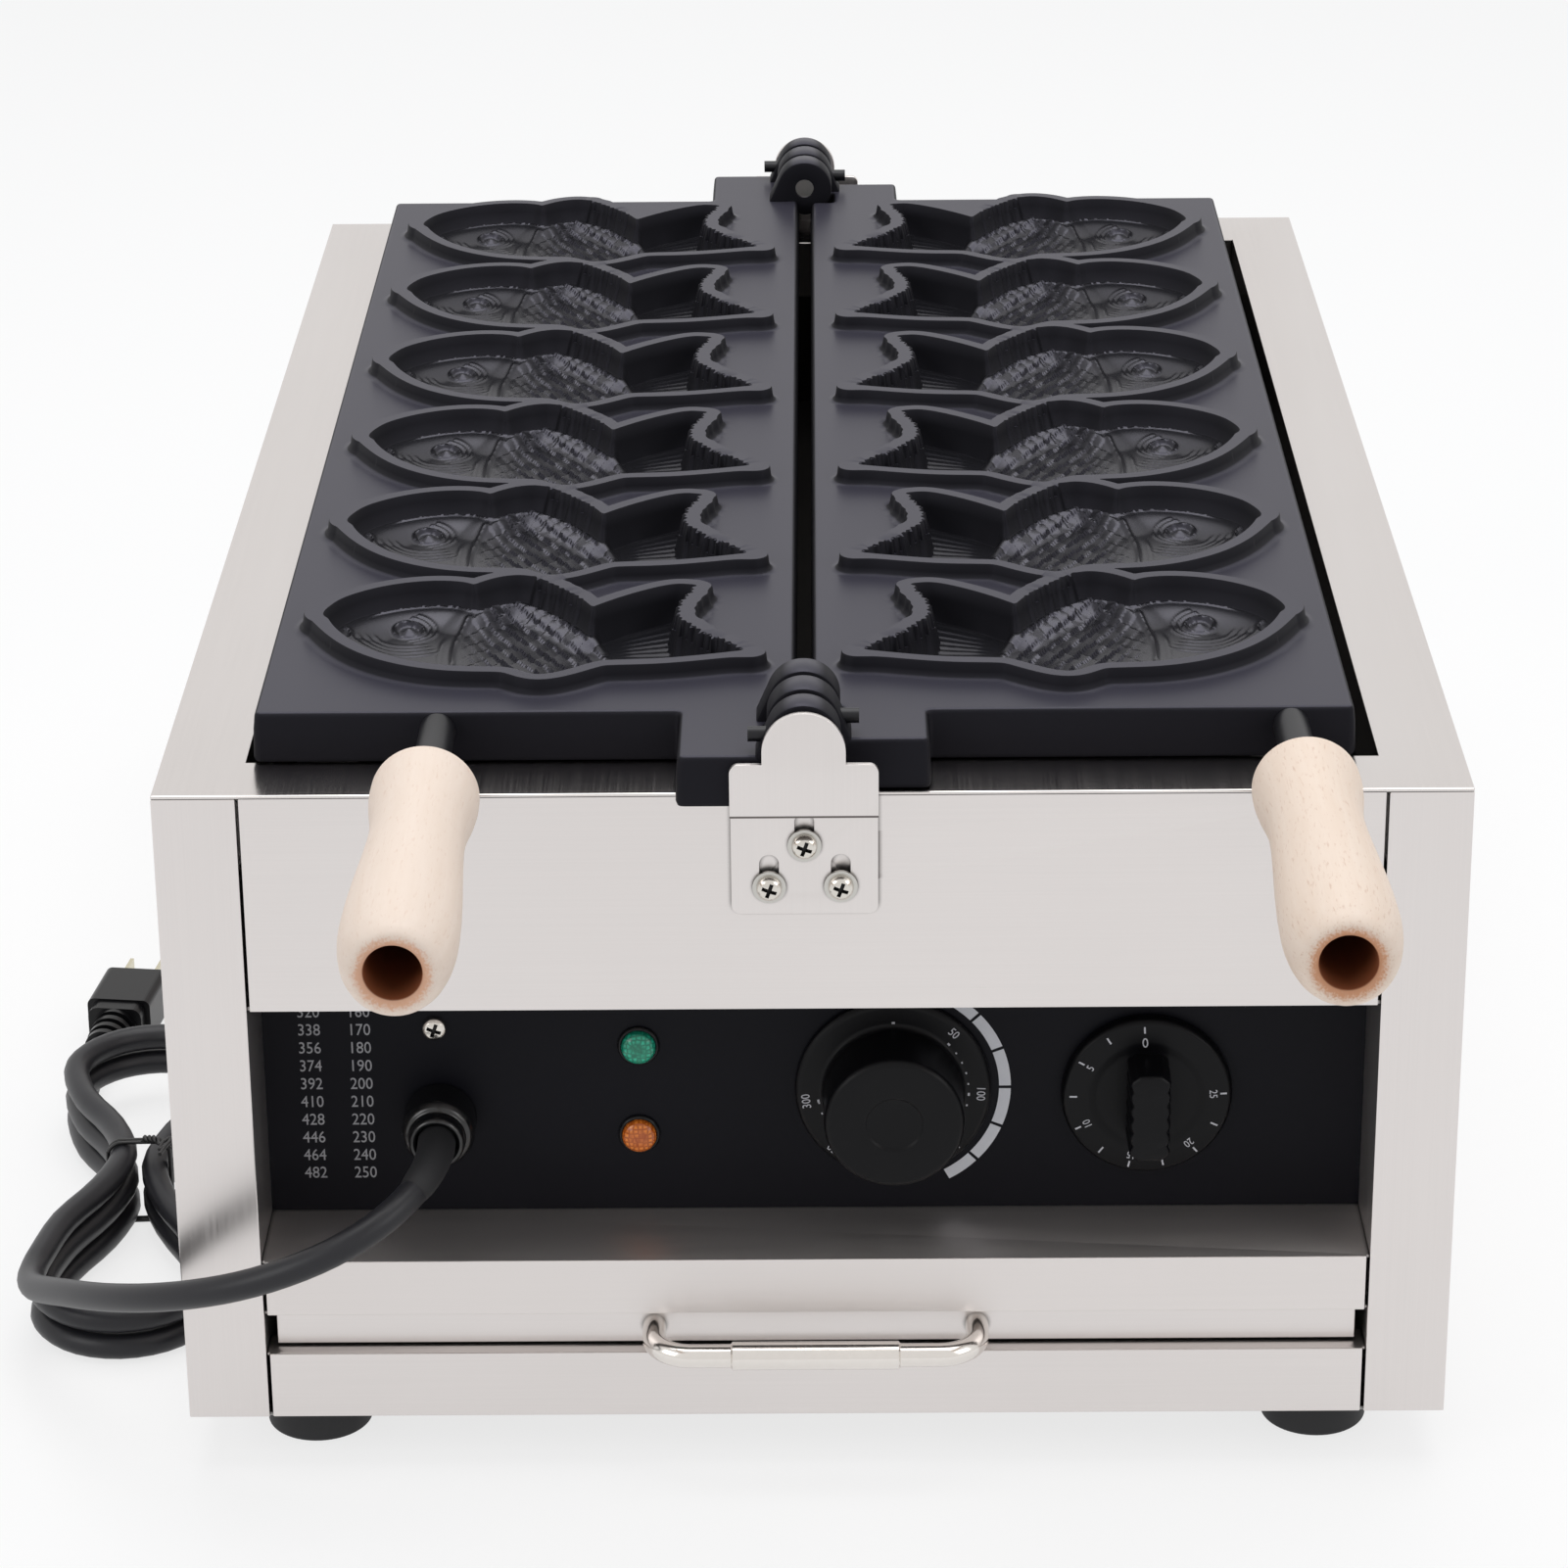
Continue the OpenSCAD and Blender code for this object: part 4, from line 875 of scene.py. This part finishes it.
def fish_distance(x, y):
    """Distance of many points from one fish outline, negative inside it."""
    best = np.full(x.shape, 1e9)
    for (ax, ay), (bx, by) in zip(outline, np.roll(outline, -1, axis=0)):
        ux, uy = bx - ax, by - ay
        t = np.clip(((x - ax) * ux + (y - ay) * uy) / (ux * ux + uy * uy), 0, 1)
        best = np.minimum(best, np.hypot(x - ax - t * ux, y - ay - t * uy))
    return np.where(inside(x, y, outline), -best, best)


def ease(x, low, high):
    """0 below low and 1 above high, with a smooth rise between them."""
    t = np.clip((x - low) / (high - low), 0, 1)
    return t * t * (3 - 2 * t)


# The distance field of one plate: a grid about 1 mm fine, with `per_fish` rows to the pitch,
# which is `clear` where no fish is near.
per_fish, margin, reach = 90, 58, 75
cell, clear = pitch / per_fish, 30.0
grid_u = fish_u + cell * np.arange(-83, 83)
row_count = (count - 1) * per_fish + 2 * margin + 1
local_x, local_y = np.meshgrid(grid_u - fish_u, cell * np.arange(-reach, reach + 1), indexing="ij")
one_fish = fish_distance(local_x, local_y)
# Where the rim is wider (plus) at the nose and the tail's tip, or scalloped (minus) at the fork
for x, y, wide, more in ((76, 14, 9, 1.9), (-77, -30, 5, 3.0), (-62.3, 22.5, 1.7, -2.4),
                         (-58.6, 14.5, 1.8, -2.6), (-63, 30, 1.5, -1.8)):
    away = np.hypot(local_x - x, local_y - y)
    one_fish -= more * np.exp(-(away / wide) ** 2 / 2) * ease(one_fish, 1.5, 4.5)
field = np.full((len(grid_u), row_count), clear)
for k in range(count):
    first = margin + per_fish * k - reach
    a, b = max(first, 0), min(first + 2 * reach + 1, row_count)
    field[:, a:b] = np.minimum(field[:, a:b], one_fish[:, a - first:b - first])

# The rim's section: height over the plate against distance from the outline.
wall_h = 5.1
profile_d = [-2.6, -2.3, -0.8, 0, 0.3, 5.0, 5.35, 5.75, 6.3, 7.4, 9.0, 10.0]
profile_z = [0, 0, 0, wall_h, 5.6, 5.6, 5.1, 2.4, 1.0, 0.3, 0, 0]


def contour(level):
    """Points and short edges where the field crosses a level, in grid steps."""
    above = field > level
    ids, points, edges = {}, [], []
    hit_u = np.argwhere(above[:-1] != above[1:])
    hit_y = np.argwhere(above[:, :-1] != above[:, 1:])
    for kind, hits in ((0, hit_u), (1, hit_y)):
        for i, j in hits:
            here, there = field[i, j], field[i + 1, j] if kind == 0 else field[i, j + 1]
            t = min(max((level - here) / (there - here), 0.002), 0.998)
            ids[(kind, i, j)] = len(points)
            points.append((i + t, j) if kind == 0 else (i, j + t))
    cells = {(i, j + dj) for i, j in hit_u for dj in (-1, 0)}
    cells |= {(i + di, j) for i, j in hit_y for di in (-1, 0)}
    for i, j in sorted(cells):
        ends = [ids[key] for key in ((1, i, j), (0, i, j), (1, i + 1, j), (0, i, j + 1))
                if key in ids]
        if len(ends) == 2:
            edges.append(tuple(ends))
        elif len(ends) == 4:
            edges += [(ends[0], ends[1]), (ends[2], ends[3])]
    return points, edges


def at(values, i, j):
    """Values of a grid between its points."""
    a = np.clip(np.floor(i).astype(int), 0, values.shape[0] - 2)
    b = np.clip(np.floor(j).astype(int), 0, values.shape[1] - 2)
    s, t = i - a, j - b
    return ((values[a, b] * (1 - s) + values[a + 1, b] * s) * (1 - t)
            + (values[a, b + 1] * (1 - s) + values[a + 1, b + 1] * s) * t)


def ridge(t, wide):
    """1 where t is 0, falling to 0 away from it."""
    return np.exp(-(t / wide) ** 2)


def floor_z(x, y, d):
    """Height of a mould's floor over the plate, at a place in the fish and d from its outline:
    a body with scales, a gill, an eye with rings, a mouth, a fin line and a rayed tail."""
    body = -3.6 - 3.6 * ease(-d, 3, 13) - 1.2 * ease(-d, 10, 24)
    head = -2.6 - 3.4 * ease(-d, 2.5, 20)
    gill = 27 - (y / 26) ** 2 * 3
    a, b = x / 5.8 + y / 9.6, x / 5.8 - y / 9.6
    worn = np.sin(12.9898 * np.floor(a) + 78.233 * np.floor(b)) * 43758.5453
    worn = worn - np.floor(worn)
    scales = (0.75 + 0.5 * worn) * (a - np.floor(a) + b - np.floor(b) - 1) + 0.5 * (worn - 0.5)
    joint = -26 + 0.4 * y
    body += scales * ease(x - joint, 0, 5) * ease(gill - x, -1, 1.5) * ease(-d, 2.6, 5)
    bed = body + (head - body) * ease(x, 14, 27)
    bed += 1.1 * ridge(x - gill - 1.0, 0.9) * ease(-d, 6, 9)
    bed += 0.5 * ridge(x - gill - 5.5, 0.8) * ease(-d, 7, 11) * ease(-y, -18, -8)
    eye_x, eye_y = 44.5, 21.5
    eye = np.hypot(x - eye_x, (y - eye_y) * 0.92)
    bed += 0.9 * ridge(eye - 5.2, 0.6) - 0.6 * ridge(eye - 3.6, 0.7) + 1.3 * ridge(eye, 1.7)
    bed += 0.5 * ridge(eye - 7.6, 0.5) * (x < eye_x) + 0.4 * ridge(eye - 9.6, 0.5) * (x < 42)
    sweep = np.degrees(np.arctan2(y - eye_y, x - eye_x))
    sweep = ease(sweep, -125, -105) * ease(-sweep, 15, 34)
    for r in (12.5, 15.2, 18, 21):
        bed += 0.42 * ridge(eye - r, 0.65) * sweep * ease(-d, 4, 8)
    bed += 0.8 * ridge(np.hypot(x - 72, y - 12) - 8.5, 0.7) * ease(-d, 2.8, 4)
    bed += 0.55 * ridge(d + 3.6, 0.5) * (y > 5) * ease(x, -14, -8) * ease(-x, -62, -52)
    fan = np.degrees(np.arctan2(y - 1, -(x + 2))) / 6.0
    tail = -8.3 + 0.4 * ridge(fan - np.round(fan), 0.16) * ease(-x, 27, 33)
    return tail + (bed - tail) * ease(x - joint, -2.2, 2.2)


# The points to mesh: the rims' contours, and a lattice on the floors that is finer under
# the scales and the head than under the tail.
points, edges = [], []
floor_d, tail_x = -3.0, -27.5
for level in profile_d:
    more, joins = contour(level)
    edges += [(a + len(points), b + len(points)) for a, b in joins]
    points += more
for step, part in ((2 / 3, 1), (1.0, -1)):
    lattice = np.meshgrid(*[np.arange(0.3, length - 1, step) for length in field.shape],
                          indexing="ij")
    i, j = lattice[0].ravel(), lattice[1].ravel()
    local_x = grid_u[0] + cell * i - fish_u
    within = (at(field, i, j) < floor_d) & (part * (local_x - tail_x) > 0.2)
    points += list(zip(i[within], j[within]))
points = np.array(points, float)
detail = np.column_stack([grid_u[0] + cell * points[:, 0],
                          first_y + cell * (points[:, 1] - margin)])


def drawn_back(points, distance):
    """A closed outline that runs counter-clockwise, moved inwards."""
    out = []
    for before, here, after in zip([points[-1]] + points, points, points[1:] + points[:1]):
        a, b = (here - before).normalized(), (after - here).normalized()
        n, m = Vector((-a.y, a.x)), Vector((-b.y, b.x))
        out.append(here + (n + m) * distance / max(1 + n.dot(m), 0.6))
    return out


def plate_outline(own_end, notch):
    """Outline of a plate and its lugs from above, counter-clockwise from the hinge line."""
    lug_u, notch_u = 40.6, 12.8
    near = [(inner_u, -own_end), (lug_u, -own_end), (lug_u, plate_y0), (outer_u, plate_y0)]
    cut = [(inner_u, notch[1]), (notch_u, notch[1]), (notch_u, notch[0]), (inner_u, notch[0])]
    far = [(u, body_d - y) for u, y in reversed(near)]
    far_cut = [(u, body_d - y) for u, y in reversed(cut)]
    points = [Vector(p) for p in near + far + far_cut + cut]
    return [p for spot in zip([points[-1]] + points, points, points[1:] + points[:1])
            for p in arc_at(*spot, 2.2, 4)]


# The plate's edge, rounded over at the top, and the skirt below it: how far in from the
# outline against height.
edge_steps = [(0, -1.6), (0.12, -0.95), (0.45, -0.45), (0.95, -0.12), (1.6, 0), (2.6, 0)]
skirt_steps = [(0, -1.6), (-0.5, -6), (-0.8, -15.6), (-0.3, -16.9), (0.4, plate_low - plate_z),
               (1.2, plate_low - plate_z)]


def plate_top(rim_line, side):
    """The whole top of one plate: the rims' part and the moulds' floors, as two meshes."""
    loops = [drawn_back(rim_line, d) for d, z in edge_steps]
    outer = np.array([tuple(p) for loop in loops for p in loop])
    n = len(rim_line)
    joins = [(k * n + i, k * n + (i + 1) % n) for k in range(len(loops)) for i in range(n)]
    joins += [(a + len(outer), b + len(outer)) for a, b in edges]
    verts, _, faces, source, _, _ = delaunay_2d_cdt(
        [Vector(p) for p in np.vstack([outer, detail])], joins, [], 0, 1e-4, True)
    place = np.array([tuple(p) for p in verts])
    faces = np.array(faces)
    middle = place[faces].mean(axis=1)
    faces = faces[inside(middle[:, 0], middle[:, 1], np.array([tuple(p) for p in rim_line]))]
    i, j = (place[:, 0] - grid_u[0]) / cell, (place[:, 1] - first_y) / cell + margin
    in_grid = (i >= 0) & (i <= len(grid_u) - 1) & (j >= 0) & (j <= row_count - 1)
    d = np.where(in_grid, at(field, i, j), clear)
    z = np.interp(d, profile_d, profile_z)
    fish = np.clip(np.round((place[:, 1] - first_y) / pitch), 0, count - 1)
    bed = floor_z(place[:, 0] - fish_u, place[:, 1] - first_y - fish * pitch, d)
    wall = np.interp(d, profile_d[:4], [0, 0.03, 0.62, 1])
    z = np.where(d < 0, bed * (1 - wall) + wall_h * wall, z)
    for k, found in enumerate(source):
        first = min(found) if len(found) else len(outer)
        if first < len(outer):
            z[k] = edge_steps[first // n][1]
    corners = np.column_stack([hinge_x + side * place[:, 0] * mm, front + place[:, 1] * mm,
                               (plate_z + z) * mm])
    if side < 0:
        faces = faces[:, ::-1]
    deep = (d[faces] < -2.55).all(axis=1)
    made = []
    for part in (faces[~deep], faces[deep]):
        used, part = np.unique(part, return_inverse=True)
        mesh = bpy.data.meshes.new("top")
        mesh.from_pydata(corners[used].tolist(), [], part.reshape(-1, 3).tolist())
        made.append(placed("top", mesh))
    return made


def knuckle(shape, side, y0, y1):
    """A ring round the hinge line and the web below it, with eased edges and its bore."""
    ring_r, bore_r, axis_h = 12, 4.06, 5.8
    line = [ring_r * Vector((math.cos(t), math.sin(t)))
            for t in np.radians(np.linspace(23, 286, 60))]
    line += [Vector((inner_u, -22.6)), Vector((15.5, -22.6)), Vector((15.5, -5.4))]
    bore = [bore_r * Vector((math.cos(t), math.sin(t)))
            for t in np.radians(np.linspace(23, 383, len(line), endpoint=False))]
    eased, flat = drawn_back(line, 0.35), drawn_back(line, 1.1)
    layers = [(bore, y0 + 0.4), (flat, y0), (eased, y0 + 0.3), (line, y0 + 1.1),
              (line, y1 - 1.1), (eased, y1 - 0.3), (flat, y1), (bore, y1 - 0.4)]
    loops = [[shape.verts.new((hinge_x + side * p.x * mm, front + y * mm,
                               (plate_z + axis_h + p.y) * mm)) for p in points]
             for points, y in layers]
    ring_walls(shape, loops + [loops[0]])


def non_stick(name, lit_top_colour, wall_rough, top_rough, **values):
    """A black coat, painted greyer on level tops as painted light falling from above, and smoother
    there; steep walls keep the first deep black. The moulds' coat is oily and glossier."""
    made = speckled(name, "#060608", "#0A0A0C", wall_rough, 0.7, 0.02, **values)
    tree = made.node_tree
    shader = tree.nodes["Principled BSDF"]
    facing = add(tree, "SeparateXYZ", {0: add(tree, "TexCoord").outputs["Normal"]})
    # Painted light: faces that look up, by their normal, get the greyer colour; steep faces stay
    # black.
    level = add(tree, "MapRange", {"Value": facing.outputs[2], "From Min": 0.78,
                                   "From Max": 0.995}, interpolation_type="SMOOTHSTEP")
    blacks = shader.inputs["Base Color"].links[0].from_socket
    tops = add(tree, "Mix", {0: level, 6: blacks, 7: linear(lit_top_colour)}, data_type="RGBA")
    rough = add(tree, "MapRange", {"Value": level, "To Min": wall_rough, "To Max": top_rough})
    feed(shader, {"Base Color": tops, "Roughness": rough, "Specular Tint": linear("#EAE8FF")})
    return made


coat = non_stick("black non-stick coat", "#33323B", 0.6, 0.34, Specular_IOR_Level=0.22)
oiled = non_stick("oiled non-stick coat", "#0D0D10", 0.34, 0.26, Specular_IOR_Level=0.5)

for name, side, own_end, notch, own in (
        ("left", -1, 12, (1.2, 16.6), ((-12, -0.6), (18, 30.5))),
        ("right", 1, -2.4, (16.8, 31.7), ((2.4, 15.4),))):
    rim_line = plate_outline(own_end, notch)
    top, floors = plate_top(rim_line, side)
    shape = bmesh.new()
    loops = [[shape.verts.new((hinge_x + side * p.x * mm, front + p.y * mm, (plate_z + z) * mm))
              for p in drawn_back(rim_line, d)] for d, z in skirt_steps]
    ring_walls(shape, loops)
    shape.faces.new(loops[-1])
    for y0, y1 in own:
        knuckle(shape, side, y0, y1)
        knuckle(shape, side, body_d - y1, body_d - y0)
    plate = joined([top, solid(shape, "skirt")])
    bpy.ops.object.mode_set(mode="EDIT")
    bpy.ops.mesh.select_all(action="SELECT")
    bpy.ops.mesh.remove_doubles(threshold=0.002 * mm)
    bpy.ops.object.mode_set(mode="OBJECT")
    finish_piece(plate, name + "_mould_plate", coat, name + "_plate", (name + "_plate",), 38)
    finish_piece(floors, name + "_mould_floors", oiled, name + "_plate", (), 50)

dark_steel = speckled("blackened steel", "#141417", "#1E1E22", 0.38, 1.0, 0.03, Metallic=0.4)
dress(dark_steel, "left_knuckle_screws", "right_knuckle_screws")


# ---- Handles ----------------------------------------------------------------------------
# Plain turned beech grips on black steel rods. The wood is pale and unvarnished; its cut
# front end is darker and redder, where the end grain shows round the bore.

def wood(name, centre, tip_y, light, dark, speck, end, end_share, speck_share):
    """Beech: long fine grain and short dark flecks along y, and a redder end near tip_y."""
    made, tree, shader, place = surface(name, Roughness=0.62)
    on_axis = (-centre[0], 0, -centre[2])
    long_way = add(tree, "Mapping", {"Vector": place, "Location": on_axis,
                                     "Scale": (260, 14, 260)})
    grain = add(tree, "TexNoise", {"Vector": long_way, "Scale": 1.0, "Detail": 5.0,
                                   "Roughness": 0.62})
    short = add(tree, "Mapping", {"Vector": place, "Scale": (1300, 190, 1300)})
    flecks = add(tree, "TexNoise", {"Vector": short, "Scale": 1.0, "Detail": 2.0})
    specks = add(tree, "MapRange", {"Value": flecks, "From Min": 0.60, "From Max": 0.74,
                                    "To Max": speck_share})
    sides = add(tree, "Mix", {0: grain, 6: linear(light), 7: linear(dark)}, data_type="RGBA")
    sides = add(tree, "Mix", {0: specks, 6: sides, 7: linear(speck)}, data_type="RGBA")
    across_axis = add(tree, "Mapping", {"Vector": place, "Location": on_axis,
                                        "Scale": (1, 0, 1)})
    radius = add(tree, "VectorMath", {0: across_axis}, operation="LENGTH").outputs["Value"]
    parts = add(tree, "SeparateXYZ", {0: place})
    near_end = add(tree, "MapRange", {
        "Value": parts.outputs[1], "From Min": tip_y + 7 * mm, "From Max": tip_y + 1 * mm},
        interpolation_type="SMOOTHSTEP")
    ragged = add(tree, "Math", {0: flecks, 1: 5 * mm, 2: radius}, operation="MULTIPLY_ADD")
    close = add(tree, "MapRange", {
        "Value": ragged, "From Min": 15.4 * mm, "From Max": 12.2 * mm, "To Max": end_share},
        interpolation_type="SMOOTHSTEP")
    red = add(tree, "Math", {0: near_end, 1: close}, operation="MULTIPLY")
    colour = add(tree, "Mix", {0: red, 6: sides, 7: linear(end)}, data_type="RGBA")
    # Painted shade: the inside of the bore is painted dark orange-brown.
    bore_shade = add(tree, "MapRange", {"Value": radius, "From Min": 9.1 * mm,
                                     "From Max": 8.72 * mm}, interpolation_type="SMOOTHSTEP")
    colour = add(tree, "Mix", {0: bore_shade, 6: colour, 7: linear("#7E4526")}, data_type="RGBA")
    bump = add(tree, "Bump", {"Strength": 0.35, "Distance": 0.08 * mm, "Height": grain})
    feed(shader, {"Base Color": colour, "Normal": bump})
    return made


grip_line = [(8.7, 89), (8.7, 1.4), (9.6, 0.5), (10.6, 0), (12.2, 0), (13.4, 0.8), (14.7, 2.6),
             (16.4, 7.5), (17.5, 14), (18.0, 20), (18.1, 26), (17.9, 38), (17.3, 52), (16.6, 64),
             (15.9, 76), (15.3, 88), (15.1, 97), (15.3, 104), (16, 112), (17, 120), (17.5, 127),
             (17.4, 133.6), (16.7, 134.8), (15.9, 135), (5.95, 135), (5.95, 101)]
for name, looks in (("left", ("#EADBCF", "#DFCCBC", "#CFAF98", "#D0946C", 0.75, 0.35)),
                    ("right", ("#E9DACD", "#DCC6B3", "#C39F86", "#C08052", 0.85, 0.5))):
    tip = seated(name + "_grip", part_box(name + "_grip")[0].y)
    grip = turned(grip_line, 1.2, tip, (0, 1, 0), 72)
    beech = wood(name + " beech", tip, tip[1], *looks)
    finish_piece(grip, name + "_wooden_grip", beech, name + "_plate", (name + "_grip",), 40)
dress(dark_steel, "left_handle_rod", "right_handle_rod")


low, high = cad_box
size = {"cad": [list(low), list(high)]}
low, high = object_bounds()
size["visual"] = [list(low), list(high)]
